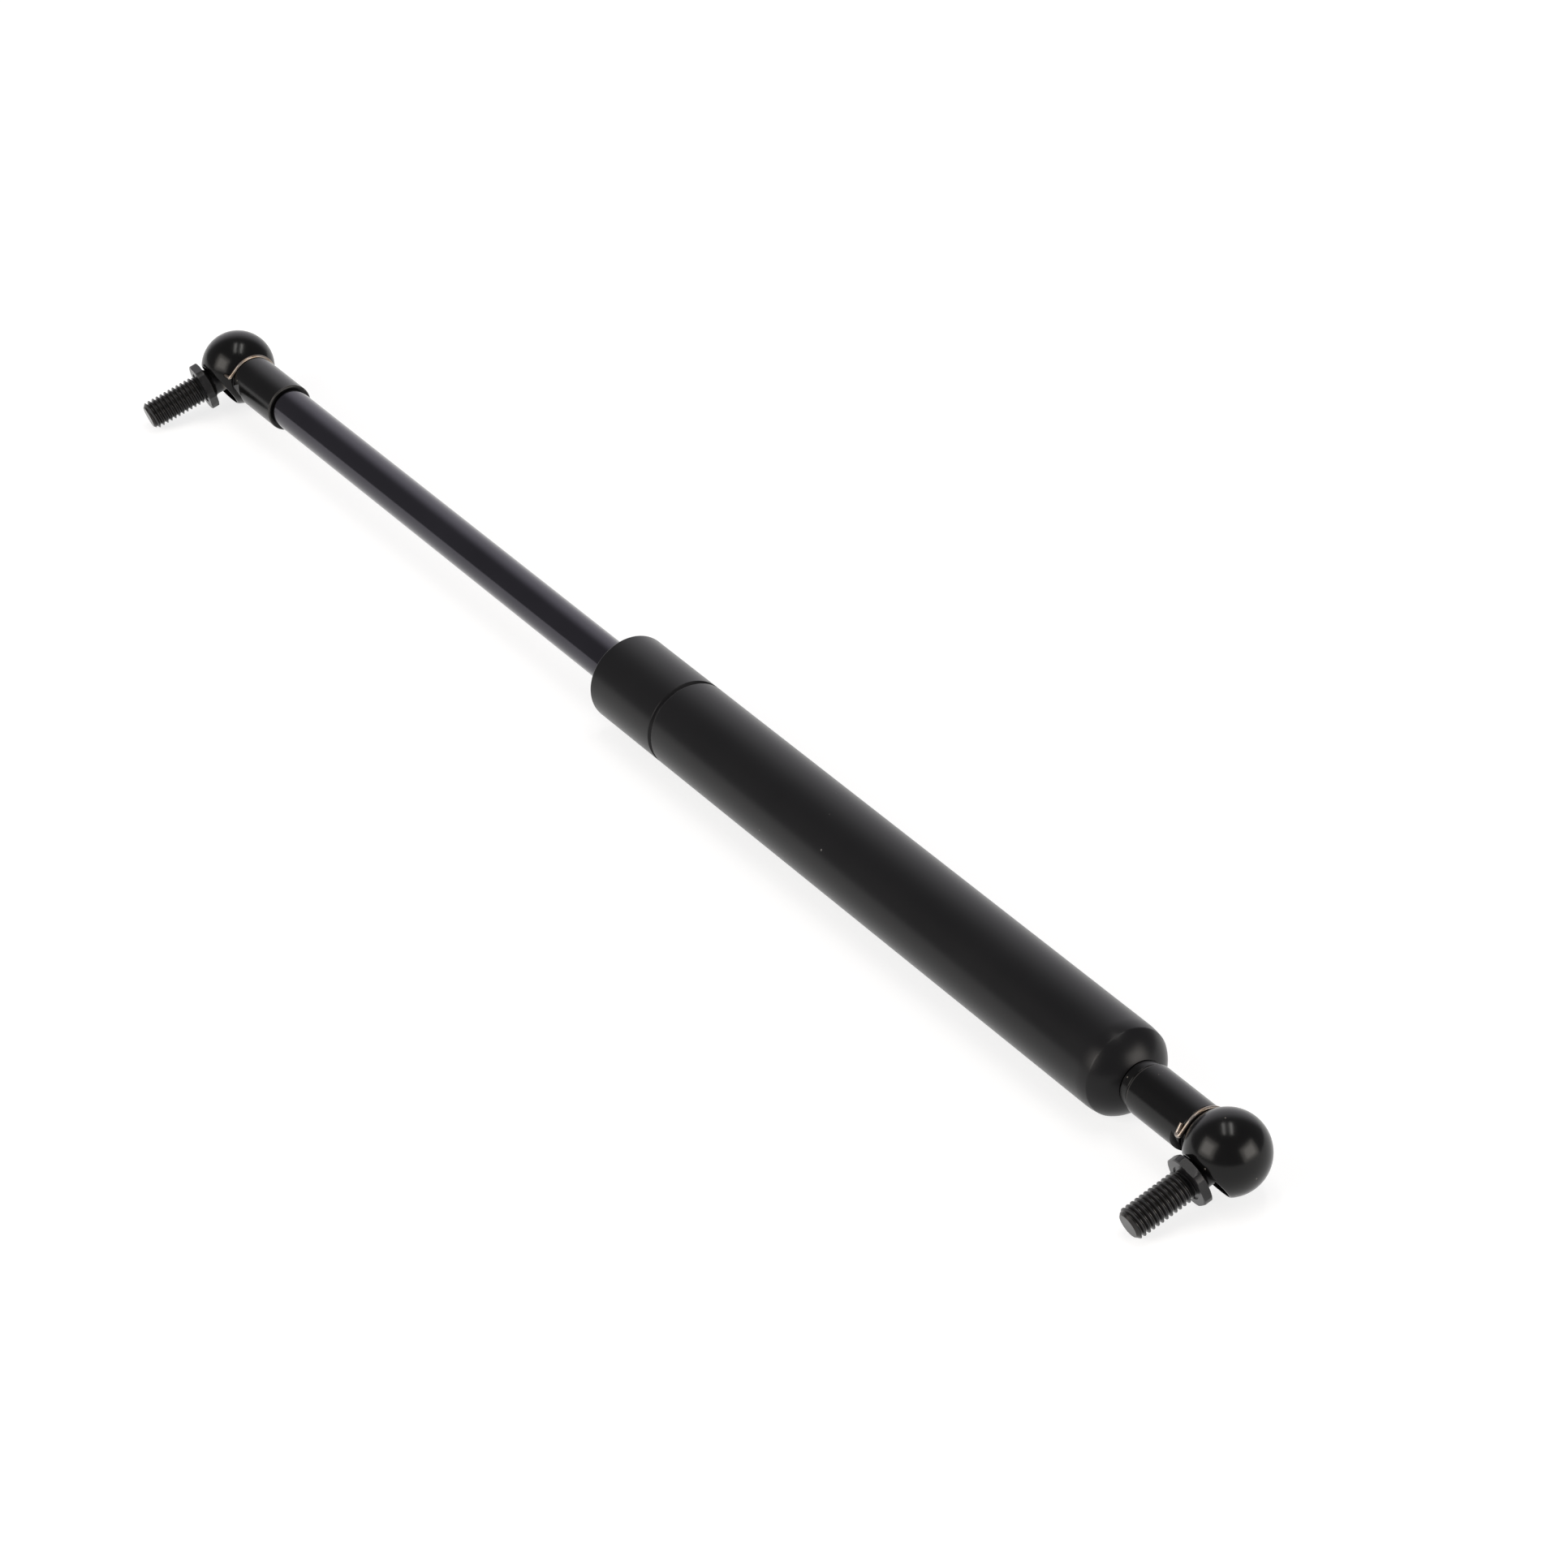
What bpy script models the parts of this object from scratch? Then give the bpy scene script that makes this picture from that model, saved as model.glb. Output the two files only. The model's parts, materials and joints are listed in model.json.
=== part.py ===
"""Gas strut stay: a fully extended gas spring with an angle ball joint on each end.

The strut lies along X, rod end at -X and cylinder end at +X. The tube and both stud tips rest
on the plane Z = 0, and the origin is the bottom centre of the bounding box. A station is a
distance along the strut from the rod-end ball centre, towards the cylinder end.
"""

import math

import bmesh
import bpy
from mathutils import Matrix, Vector

MM = 0.001

# Driving dimensions
BALL_SPACING = 452.0 * MM
STROKE = 160.0 * MM
GAP = 0.3 * MM
TUBE_RADIUS = 11.5 * MM
TUBE_WALL = 1.5 * MM
TUBE_FRONT = 203.4 * MM
TUBE_REAR = 420.0 * MM
ROD_RADIUS = 5.5 * MM
THREAD_RADIUS = 3.94 * MM
BALL_RADIUS = 6.5 * MM
HEAD_RADIUS = 10.0 * MM
NECK_RADIUS = 6.5 * MM
SOCKET_LENGTH = 29.3 * MM
STUD_LENGTH = 28.2 * MM
WIRE_RADIUS = 0.45 * MM

# Tube ends and rolled groove
LIP_ROUNDING = 1.75 * MM
LIP_HOLE_RADIUS = 6.6 * MM
DOME_ROUNDING = 8.25 * MM
DOME_HOLE_RADIUS = 5.8 * MM
DOME_CENTRE = (TUBE_RADIUS - DOME_ROUNDING, TUBE_REAR - DOME_ROUNDING)
GROOVE_STATION = 231.4 * MM
GROOVE_HALF_WIDTH = 0.5 * MM
GROOVE_DEPTH = 0.7 * MM

# The piston stack stands on the rod's spigot, a gap behind the shoulder
SPIGOT_RADIUS = 3.0 * MM
SPIGOT_HOLE_RADIUS = SPIGOT_RADIUS + GAP
SHOULDER_STATION = 233.0 * MM
WASHER_LENGTH = 1.2 * MM
PISTON_LENGTH = 9.0 * MM
FRONT_WASHER_STATION = SHOULDER_STATION + GAP
PISTON_STATION = FRONT_WASHER_STATION + WASHER_LENGTH + GAP
REAR_WASHER_STATION = PISTON_STATION + PISTON_LENGTH + GAP
RIVET_STATION = REAR_WASHER_STATION + WASHER_LENGTH + GAP
RIVET_LENGTH = 2.2 * MM
PISTON_RING_LENGTH = 2.0 * MM
PISTON_RING_STATION = PISTON_STATION + (PISTON_LENGTH - PISTON_RING_LENGTH) / 2

# Ball socket
MOUTH_HEIGHT = 7.0 * MM
CAVITY_RADIUS = BALL_RADIUS + GAP
RING_HEIGHT = 3.4 * MM
RING_CENTRE_RADIUS = 6.35 * MM
RING_GROOVE_RADIUS = 7.35 * MM
RING_GROOVE_HALF_WIDTH = 0.8 * MM
RING_OPENING_DEG = 24.0
BORE_BOTTOM = 15.0 * MM
CLIP_STATION = 8.5 * MM
CLIP_CENTRE_RADIUS = 6.45 * MM
CLIP_GROOVE_RADIUS = 5.75 * MM
CLIP_GROOVE_HALF_WIDTH = 0.75 * MM
PIN_SIDE = 5.5 * MM
PIN_HEIGHT = 4.9 * MM
PIN_END = 3.3 * MM
PIN_HOLE_RADIUS = 0.7 * MM
HAIRPIN_SIDE = 5.6 * MM
HAIRPIN_HEIGHT = 5.05 * MM
HAIRPIN_RADIUS = 0.75 * MM

# Ball stud
STUD_NECK_RADIUS = 3.7 * MM
COLLAR_START = 9.6 * MM
COLLAR_END = 11.85 * MM
COLLAR_FLATS = 12.0 * MM
COLLAR_CORNER_RADIUS = 6.5 * MM
COLLAR_RELIEF_RADIUS = 4.3 * MM
COLLAR_RELIEF_DEPTH = 0.3 * MM
THREAD_ROOT_RADIUS = 3.24 * MM
TIP_CHAMFER = 1.0 * MM

# Attitude of the joints: drops are below the horizontal, towards -Y
STUD_DROP = 0.282
ROD_STUD_LEAN = math.sin(math.radians(7.0))
ROD_SOCKET_DROP_DEG = 29.0
CYLINDER_SOCKET_DROP_DEG = 32.5
ROD_HEX_ROLL_DEG = 4.5
CYLINDER_HEX_ROLL_DEG = 39.0

# Facets round a full turn
TUBE_FACETS = 32
PIECE_FACETS = 24

COLLECTION_NAME = "gas_strut_stay"
CUTTER_COLLECTION_NAME = "cutters"


def clear_scene():
    for old in list(bpy.data.objects):
        bpy.data.objects.remove(old, do_unlink=True)


def new_collection(name):
    collection = bpy.data.collections.new(name)
    bpy.context.scene.collection.children.link(collection)
    return collection


def finish_material(name, colour, metallic, roughness):
    material = bpy.data.materials.new(name)
    material.use_nodes = True
    shader = material.node_tree.nodes["Principled BSDF"]
    shader.inputs["Base Color"].default_value = (*colour, 1.0)
    shader.inputs["Metallic"].default_value = metallic
    shader.inputs["Roughness"].default_value = roughness
    material.diffuse_color = (*colour, 1.0)
    return material


def axis_empty(name, origin, x_axis, z_axis):
    """An empty that carries a frame: X and Z are given, and Y completes a right-handed set."""
    empty = bpy.data.objects.new(name, None)
    empty.empty_display_size = 0.01
    z_axis = z_axis.normalized()
    x_axis = (x_axis - z_axis * x_axis.dot(z_axis)).normalized()
    turn = Matrix((x_axis, z_axis.cross(x_axis), z_axis)).transposed()
    empty.matrix_world = Matrix.Translation(origin) @ turn.to_4x4()
    parts.objects.link(empty)
    return empty


def arc(centre, radius, start_deg, end_deg, steps):
    """Points of a circular arc as (radius, height), angles from the radial axis towards +height."""
    points = []
    for i in range(steps + 1):
        angle = math.radians(start_deg + (end_deg - start_deg) * i / steps)
        points.append((centre[0] + radius * math.cos(angle), centre[1] + radius * math.sin(angle)))
    return points


def ring_section(inner, outer, length, chamfer=0.3 * MM):
    """Closed section of a plain ring, standing from height 0 to its length."""
    return [
        (inner, length),
        (outer - chamfer, length),
        (outer, length - chamfer),
        (outer, chamfer),
        (outer - chamfer, 0.0),
        (inner, 0.0),
    ]


def add_turned(name, section, closed, facets, collection):
    """A section of (radius, height) points swept round local Z by a Screw modifier."""
    mesh = bpy.data.meshes.new(name)
    sweep = bmesh.new()
    verts = [sweep.verts.new((r, 0.0, z)) for r, z in section]
    for a, b in zip(verts, verts[1:]):
        sweep.edges.new((a, b))
    if closed:
        sweep.edges.new((verts[-1], verts[0]))
    sweep.to_mesh(mesh)
    sweep.free()
    obj = bpy.data.objects.new(name, mesh)
    collection.objects.link(obj)
    screw = obj.modifiers.new("Turn", "SCREW")
    screw.axis = "Z"
    screw.steps = facets
    screw.render_steps = facets
    screw.use_merge_vertices = True
    screw.merge_threshold = 0.000001
    screw.use_smooth_shade = False
    return obj


def place(obj, frame, location=(0.0, 0.0, 0.0), turn=(0.0, 0.0, 0.0)):
    obj.parent = frame
    obj.location = location
    obj.rotation_euler = turn


def turned(name, frame, section, material, closed=False, facets=PIECE_FACETS, height=0.0,
           turn=(0.0, 0.0, 0.0)):
    """A turned piece of the strut, standing on its frame's Z axis at a height."""
    obj = add_turned(name, section, closed, facets, parts)
    place(obj, frame, (0.0, 0.0, height), turn)
    obj.data.materials.append(material)
    return obj


def as_cutter(obj):
    obj.hide_render = True
    obj.display_type = "WIRE"
    return obj


def turned_cutter(name, frame, section, facets=PIECE_FACETS, location=(0.0, 0.0, 0.0),
                  turn=(0.0, 0.0, 0.0)):
    obj = add_turned(name, section, False, facets, cutters)
    place(obj, frame, location, turn)
    return as_cutter(obj)


def boolean(obj, other, operation):
    modifier = obj.modifiers.new(operation.title(), "BOOLEAN")
    modifier.operation = operation
    modifier.solver = "EXACT"
    modifier.object = other


def wire(name, frame, points, material):
    """A round wire along a list of points in its frame."""
    curve = bpy.data.curves.new(name, "CURVE")
    curve.dimensions = "3D"
    curve.bevel_depth = WIRE_RADIUS
    curve.bevel_resolution = 2
    curve.use_fill_caps = True
    spline = curve.splines.new("POLY")
    spline.points.add(len(points) - 1)
    for point, position in zip(spline.points, points):
        point.co = (*position, 1.0)
    obj = bpy.data.objects.new(name, curve)
    parts.objects.link(obj)
    obj.parent = frame
    curve.materials.append(material)
    return obj


def pressure_tube():
    """Drawn tube: domed rear with a hole for the plug, a rolled groove, and a turned-in front lip."""
    bore = TUBE_RADIUS - TUBE_WALL
    inner_rounding = DOME_ROUNDING - TUBE_WALL
    hole_offset = DOME_HOLE_RADIUS - DOME_CENTRE[0]
    outer_end = math.degrees(math.acos(hole_offset / DOME_ROUNDING))
    inner_end = math.degrees(math.acos(hole_offset / inner_rounding))
    lip_centre = (TUBE_RADIUS - LIP_ROUNDING, TUBE_FRONT + LIP_ROUNDING)
    low, high = GROOVE_STATION - GROOVE_HALF_WIDTH, GROOVE_STATION + GROOVE_HALF_WIDTH
    flank = 0.5 * MM
    bulge_flank = 1.0 * MM
    section = arc(DOME_CENTRE, DOME_ROUNDING, outer_end, 0.0, 6)
    section += [
        (TUBE_RADIUS, high + flank),
        (TUBE_RADIUS - GROOVE_DEPTH, high),
        (TUBE_RADIUS - GROOVE_DEPTH, low),
        (TUBE_RADIUS, low - flank),
    ]
    section += arc(lip_centre, LIP_ROUNDING, 0.0, -90.0, 3)
    section += [
        (LIP_HOLE_RADIUS, TUBE_FRONT),
        (LIP_HOLE_RADIUS, TUBE_FRONT + TUBE_WALL),
        (bore, TUBE_FRONT + TUBE_WALL),
        (bore, low - bulge_flank),
        (bore - GROOVE_DEPTH, low),
        (bore - GROOVE_DEPTH, high),
        (bore, high + bulge_flank),
    ]
    section += arc(DOME_CENTRE, inner_rounding, 0.0, inner_end, 4)
    turned("pressure_tube", strut_axis, section, black_paint, closed=True, facets=TUBE_FACETS)


def end_plug():
    """Welded rear plug: a flange inside the dome, a short stub outside, and the M8 thread."""
    flange_radius = TUBE_RADIUS - TUBE_WALL - GAP
    stroke_margin = 1.2 * MM
    flange_front = RIVET_STATION + RIVET_LENGTH + STROKE + stroke_margin
    flange_rear = flange_front + 2.5 * MM
    stub_radius = 6.0 * MM
    dome_depth = math.sqrt(DOME_ROUNDING ** 2 - (stub_radius - DOME_CENTRE[0]) ** 2)
    stub_front = DOME_CENTRE[1] + dome_depth + 2 * GAP
    stub_rear = BALL_SPACING - SOCKET_LENGTH - GAP
    tip = BALL_SPACING - BORE_BOTTOM - 1.5 * MM
    chamfer = 0.7 * MM
    section = [
        (0.0, tip),
        (THREAD_RADIUS - chamfer, tip),
        (THREAD_RADIUS, tip - chamfer),
        (THREAD_RADIUS, stub_rear),
        (stub_radius, stub_rear),
        (stub_radius, stub_front),
        (DOME_HOLE_RADIUS - GAP, stub_front),
        (DOME_HOLE_RADIUS - GAP, flange_rear),
        (flange_radius, flange_rear),
        (flange_radius, flange_front),
        (0.0, flange_front),
    ]
    turned("end_plug", strut_axis, section, bright_steel)


def guide_pack():
    """Rings between the front lip and the rolled groove, each a gap behind the one in front."""
    outer = TUBE_RADIUS - TUBE_WALL - GAP
    inner = ROD_RADIUS + GAP
    lip_depth = 1.2 * MM
    wiper_length, bush_length, seal_length = 2.5 * MM, 9.0 * MM, 5.5 * MM
    washer_length, sleeve_length = 1.5 * MM, 4.5 * MM

    station = TUBE_FRONT + TUBE_WALL + GAP
    turned("wiper_ring", strut_axis, ring_section(inner, outer, wiper_length), rubber,
           closed=True, height=station)
    station += wiper_length + GAP
    turned("guide_bush", strut_axis, ring_section(inner, outer, bush_length, 0.5 * MM),
           bush_plastic, closed=True, height=station)
    station += bush_length + GAP
    seal = [
        (inner, seal_length),
        (inner + 0.9 * MM, seal_length),
        (inner + 1.7 * MM, seal_length - lip_depth),
        (outer - 1.4 * MM, seal_length - lip_depth),
        (outer - 0.8 * MM, seal_length),
        (outer, seal_length),
        (outer, 0.0),
        (inner, 0.0),
    ]
    turned("rod_seal", strut_axis, seal, rubber, closed=True, height=station)
    station += seal_length + GAP
    turned("seal_support_washer", strut_axis, ring_section(inner, outer, washer_length, 0.2 * MM),
           bright_steel, closed=True, height=station)
    station += washer_length + GAP
    turned("stop_sleeve", strut_axis, ring_section(6.8 * MM, outer, sleeve_length), bush_plastic,
           closed=True, height=station)


def piston_rod():
    """Hard rod: M8 end in the socket, polished shank, spigot with a riveted head in the tube."""
    thread_tip = BORE_BOTTOM + 1.5 * MM
    shank_front = SOCKET_LENGTH + GAP
    shank_chamfer = 0.4 * MM
    rivet_radius = 4.2 * MM
    rivet_rear = RIVET_STATION + RIVET_LENGTH
    section = [
        (0.0, rivet_rear),
        (rivet_radius - 0.8 * MM, rivet_rear),
        (rivet_radius, rivet_rear - 0.8 * MM),
        (rivet_radius, RIVET_STATION),
        (SPIGOT_RADIUS, RIVET_STATION),
        (SPIGOT_RADIUS, SHOULDER_STATION),
        (ROD_RADIUS, SHOULDER_STATION),
        (ROD_RADIUS, shank_front + shank_chamfer),
        (ROD_RADIUS - shank_chamfer, shank_front),
        (THREAD_RADIUS, shank_front),
        (THREAD_RADIUS, thread_tip + 0.7 * MM),
        (THREAD_RADIUS - 0.7 * MM, thread_tip),
        (0.0, thread_tip),
    ]
    turned("piston_rod", strut_axis, section, rod_steel)


def piston_stack():
    """Washers, grooved piston and its loose ring."""
    piston_radius = 9.6 * MM
    washer_radius = 8.0 * MM
    groove_floor = 8.1 * MM
    groove_low = PISTON_RING_STATION - PISTON_STATION - GAP
    groove_high = groove_low + PISTON_RING_LENGTH + 2 * GAP
    chamfer = 0.5 * MM
    piston = [
        (SPIGOT_HOLE_RADIUS, PISTON_LENGTH),
        (piston_radius - chamfer, PISTON_LENGTH),
        (piston_radius, PISTON_LENGTH - chamfer),
        (piston_radius, groove_high),
        (groove_floor, groove_high),
        (groove_floor, groove_low),
        (piston_radius, groove_low),
        (piston_radius, chamfer),
        (piston_radius - chamfer, 0.0),
        (SPIGOT_HOLE_RADIUS, 0.0),
    ]
    turned("piston", strut_axis, piston, bright_steel, closed=True, height=PISTON_STATION)
    washer = ring_section(SPIGOT_HOLE_RADIUS, washer_radius, WASHER_LENGTH, 0.2 * MM)
    turned("piston_front_washer", strut_axis, washer, bright_steel, closed=True,
           height=FRONT_WASHER_STATION)
    turned("piston_rear_washer", strut_axis, washer, bright_steel, closed=True,
           height=REAR_WASHER_STATION)
    ring = ring_section(groove_floor + GAP, TUBE_RADIUS - TUBE_WALL - GAP / 2,
                        PISTON_RING_LENGTH, 0.2 * MM)
    turned("piston_ring", strut_axis, ring, bush_plastic, closed=True, height=PISTON_RING_STATION)


def socket_body(end, frame):
    """Ball socket: a turned head and neck along frame X, hollowed from its mouth on frame Z."""
    neck_turn = (0.0, math.radians(90.0), 0.0)
    bore_radius = THREAD_RADIUS + GAP
    chamfer = 0.5 * MM
    groove_high = CLIP_STATION + CLIP_GROOVE_HALF_WIDTH
    groove_low = CLIP_STATION - CLIP_GROOVE_HALF_WIDTH
    head_start = math.degrees(math.asin(groove_low / HEAD_RADIUS))
    body = [
        (0.0, BORE_BOTTOM - 1.0 * MM),
        (bore_radius, BORE_BOTTOM),
        (bore_radius, SOCKET_LENGTH - chamfer),
        (bore_radius + chamfer, SOCKET_LENGTH),
        (NECK_RADIUS - chamfer, SOCKET_LENGTH),
        (NECK_RADIUS, SOCKET_LENGTH - chamfer),
        (NECK_RADIUS, groove_high),
        (CLIP_GROOVE_RADIUS, groove_high),
        (CLIP_GROOVE_RADIUS, groove_low),
    ]
    body += arc((0.0, 0.0), HEAD_RADIUS, head_start, -90.0, 11)[:-1] + [(0.0, -HEAD_RADIUS)]
    head = turned(end + "_socket", frame, body, black_paint, turn=neck_turn)

    above = HEAD_RADIUS + 3.0 * MM
    groove_top = RING_HEIGHT + RING_GROOVE_HALF_WIDTH
    groove_bottom = RING_HEIGHT - RING_GROOVE_HALF_WIDTH
    hollow = [
        (0.0, above),
        (above, above),
        (above, MOUTH_HEIGHT),
        (CAVITY_RADIUS, MOUTH_HEIGHT),
        (CAVITY_RADIUS, groove_top),
        (RING_GROOVE_RADIUS, groove_top),
        (RING_GROOVE_RADIUS, groove_bottom),
        (CAVITY_RADIUS, groove_bottom),
    ]
    hollow += arc((0.0, 0.0), CAVITY_RADIUS, 0.0, -90.0, 6)[:-1] + [(0.0, -CAVITY_RADIUS)]
    boolean(head, turned_cutter(end + "_hollow", frame, hollow), "DIFFERENCE")

    pin_hole = [
        (0.0, 12.0 * MM),
        (PIN_HOLE_RADIUS, 12.0 * MM),
        (PIN_HOLE_RADIUS, 2.0 * MM),
        (0.0, 2.0 * MM),
    ]
    hole = turned_cutter(end + "_pin_hole", frame, pin_hole, 8, (0.0, PIN_SIDE, PIN_HEIGHT),
                         neck_turn)
    boolean(head, hole, "DIFFERENCE")


def snap_ring(end, frame):
    """Open wire ring in the groove of the hollow, round frame Z."""
    steps = 24
    start = RING_OPENING_DEG / 2
    points = []
    for i in range(steps + 1):
        angle = math.radians(start + (360.0 - RING_OPENING_DEG) * i / steps)
        points.append((RING_CENTRE_RADIUS * math.cos(angle), RING_CENTRE_RADIUS * math.sin(angle),
                       RING_HEIGHT))
    wire(end + "_snap_ring", frame, points, spring_wire)


def tangent_start(side, height):
    """Angle at which a straight leg to (side, height) leaves the clip's ring."""
    reach = math.hypot(side, height)
    return math.atan2(height, side) - math.acos(CLIP_CENTRE_RADIUS / reach)


def clip_points():
    """Centre line of the safety clip: locking pin, ring round the neck, and folded-back handle."""
    pin_turn = tangent_start(PIN_SIDE, PIN_HEIGHT)
    handle_turn = tangent_start(HAIRPIN_SIDE, HAIRPIN_HEIGHT)
    corner = 1.0 * MM
    points = [Vector((PIN_END, PIN_SIDE, PIN_HEIGHT))]
    leg = Vector((0.0, math.sin(pin_turn), -math.cos(pin_turn)))
    elbow = Vector((CLIP_STATION, PIN_SIDE, PIN_HEIGHT))
    for i in range(4):
        angle = math.radians(90.0 * i / 3)
        step = Vector((1.0, 0.0, 0.0)) * (math.sin(angle) - 1.0) + leg * (1.0 - math.cos(angle))
        points.append(elbow + step * corner)
    ring_steps = 16
    sweep = math.pi + pin_turn + handle_turn
    for i in range(ring_steps + 1):
        angle = pin_turn - sweep * i / ring_steps
        points.append(Vector((CLIP_STATION, CLIP_CENTRE_RADIUS * math.cos(angle),
                              CLIP_CENTRE_RADIUS * math.sin(angle))))
    rise = Vector((0.0, math.sin(handle_turn), math.cos(handle_turn)))
    fold = Vector((CLIP_STATION + HAIRPIN_RADIUS, -HAIRPIN_SIDE, HAIRPIN_HEIGHT))
    fold -= rise * HAIRPIN_RADIUS
    for i in range(6):
        angle = math.radians(180.0 - 180.0 * i / 5)
        points.append(fold + Vector((math.cos(angle), 0.0, 0.0)) * HAIRPIN_RADIUS
                      + rise * math.sin(angle) * HAIRPIN_RADIUS)
    points.append(Vector((CLIP_STATION + 1.1 * MM, -NECK_RADIUS - 0.85 * MM, 1.2 * MM)))
    return points


def ball_stud(end, frame, hex_roll_deg):
    """Ball stud along frame Z: ball, waisted neck, hexagon collar and threaded shank."""
    ball_edge = 4.4 * MM
    ball_top = math.degrees(math.acos(ball_edge / BALL_RADIUS))
    run_out = 0.7 * MM
    section = [
        (0.0, STUD_LENGTH),
        (THREAD_RADIUS - TIP_CHAMFER, STUD_LENGTH),
        (THREAD_RADIUS, STUD_LENGTH - TIP_CHAMFER),
        (THREAD_RADIUS, COLLAR_END + 2 * run_out),
        (THREAD_ROOT_RADIUS, COLLAR_END + run_out),
        (THREAD_ROOT_RADIUS, COLLAR_END - run_out),
        (STUD_NECK_RADIUS + 0.8 * MM, COLLAR_END - run_out),
        (STUD_NECK_RADIUS + 0.8 * MM, COLLAR_START),
        (STUD_NECK_RADIUS + 0.25 * MM, COLLAR_START - 0.6 * MM),
        (STUD_NECK_RADIUS, COLLAR_START - 1.4 * MM),
        (STUD_NECK_RADIUS, 6.2 * MM),
        (STUD_NECK_RADIUS + 0.2 * MM, 5.4 * MM),
    ]
    section += arc((0.0, 0.0), BALL_RADIUS, ball_top, -90.0, 9)[:-1] + [(0.0, -BALL_RADIUS)]
    stud = turned(end + "_ball_stud", frame, section, black_steel)

    corner_chamfer = COLLAR_CORNER_RADIUS - COLLAR_FLATS / 2 + 0.1 * MM
    drop = corner_chamfer * math.tan(math.radians(30.0))
    barrel = [
        (0.0, COLLAR_END - COLLAR_RELIEF_DEPTH),
        (COLLAR_RELIEF_RADIUS, COLLAR_END - COLLAR_RELIEF_DEPTH),
        (COLLAR_RELIEF_RADIUS, COLLAR_END),
        (COLLAR_CORNER_RADIUS - corner_chamfer, COLLAR_END),
        (COLLAR_CORNER_RADIUS, COLLAR_END - drop),
        (COLLAR_CORNER_RADIUS, COLLAR_START + drop),
        (COLLAR_CORNER_RADIUS - corner_chamfer, COLLAR_START),
        (0.0, COLLAR_START),
    ]
    collar = turned_cutter(end + "_collar", frame, barrel, 2 * PIECE_FACETS)
    hexagon = [
        (0.0, COLLAR_END + MM),
        (COLLAR_FLATS / 2 / math.cos(math.radians(30.0)), COLLAR_END + MM),
        (COLLAR_FLATS / 2 / math.cos(math.radians(30.0)), COLLAR_START - MM),
        (0.0, COLLAR_START - MM),
    ]
    roll = (0.0, 0.0, math.radians(hex_roll_deg))
    prism = turned_cutter(end + "_hexagon", frame, hexagon, 6, turn=roll)
    boolean(collar, prism, "INTERSECT")
    boolean(stud, collar, "UNION")


def stud_direction(lean):
    """Unit vector of a stud whose tip rests on the ground, leaning along X."""
    return Vector((lean, -math.sqrt(1.0 - lean ** 2 - STUD_DROP ** 2), -STUD_DROP))


def ball_joint(end, centre, neck, socket_drop_deg, stud_lean, hex_roll_deg):
    """Socket, snap ring and clip on the strut, and the ball stud in its own tilted frame."""
    drop = math.radians(socket_drop_deg)
    mouth = Vector((0.0, -math.cos(drop), -math.sin(drop)))
    socket_frame = axis_empty(end + "_socket_frame", centre, neck, mouth)
    socket_body(end, socket_frame)
    wire(end + "_clip", socket_frame, clip_points(), spring_wire)
    swivel_frame = axis_empty(end + "_swivel_frame", centre, neck, mouth)
    snap_ring(end, swivel_frame)
    stud_frame = axis_empty(end + "_stud_frame", centre, neck, stud_direction(stud_lean))
    ball_stud(end, stud_frame, hex_roll_deg)


clear_scene()
parts = new_collection(COLLECTION_NAME)
cutters = new_collection(CUTTER_COLLECTION_NAME)

black_paint = finish_material("black_paint", (0.018, 0.018, 0.02), 0.0, 0.42)
rod_steel = finish_material("rod_steel", (0.07, 0.068, 0.085), 0.9, 0.32)
bright_steel = finish_material("bright_steel", (0.42, 0.41, 0.4), 1.0, 0.35)
black_steel = finish_material("black_steel", (0.02, 0.02, 0.021), 0.3, 0.4)
spring_wire = finish_material("spring_wire", (0.55, 0.53, 0.5), 1.0, 0.3)
rubber = finish_material("rubber", (0.02, 0.02, 0.02), 0.0, 0.8)
bush_plastic = finish_material("bush_plastic", (0.25, 0.24, 0.2), 0.0, 0.5)

# The stud tips reach furthest to -Y and the tube furthest to +Y: the axis is set off to centre both
tip_reach = -stud_direction(0.0).y * STUD_LENGTH + STUD_DROP * (THREAD_RADIUS - TIP_CHAMFER)
AXIS_Y = (tip_reach - TUBE_RADIUS) / 2
rod_ball = Vector((-BALL_SPACING / 2, AXIS_Y, TUBE_RADIUS))
cylinder_ball = Vector((BALL_SPACING / 2, AXIS_Y, TUBE_RADIUS))
towards_cylinder = Vector((1.0, 0.0, 0.0))

strut_axis = axis_empty("strut_axis", rod_ball, Vector((0.0, 0.0, -1.0)), towards_cylinder)
pressure_tube()
end_plug()
guide_pack()
piston_rod()
piston_stack()
ball_joint("rod_end", rod_ball, towards_cylinder, ROD_SOCKET_DROP_DEG, -ROD_STUD_LEAN,
           ROD_HEX_ROLL_DEG)
ball_joint("cylinder_end", cylinder_ball, -towards_cylinder, CYLINDER_SOCKET_DROP_DEG, 0.0,
           CYLINDER_HEX_ROLL_DEG)
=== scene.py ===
"""Finished surfaces of a gas strut stay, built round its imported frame.

The strut lies along X, rod end at -X. Every piece is made in its own axes, turned about Z or bent
from wire, and then set in place once, so that each finished object sits at the origin.
"""

import json
import math

import bmesh
import bpy
from bpy.props import FloatProperty, FloatVectorProperty, IntProperty, PointerProperty
from mathutils import Matrix, Vector


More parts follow.
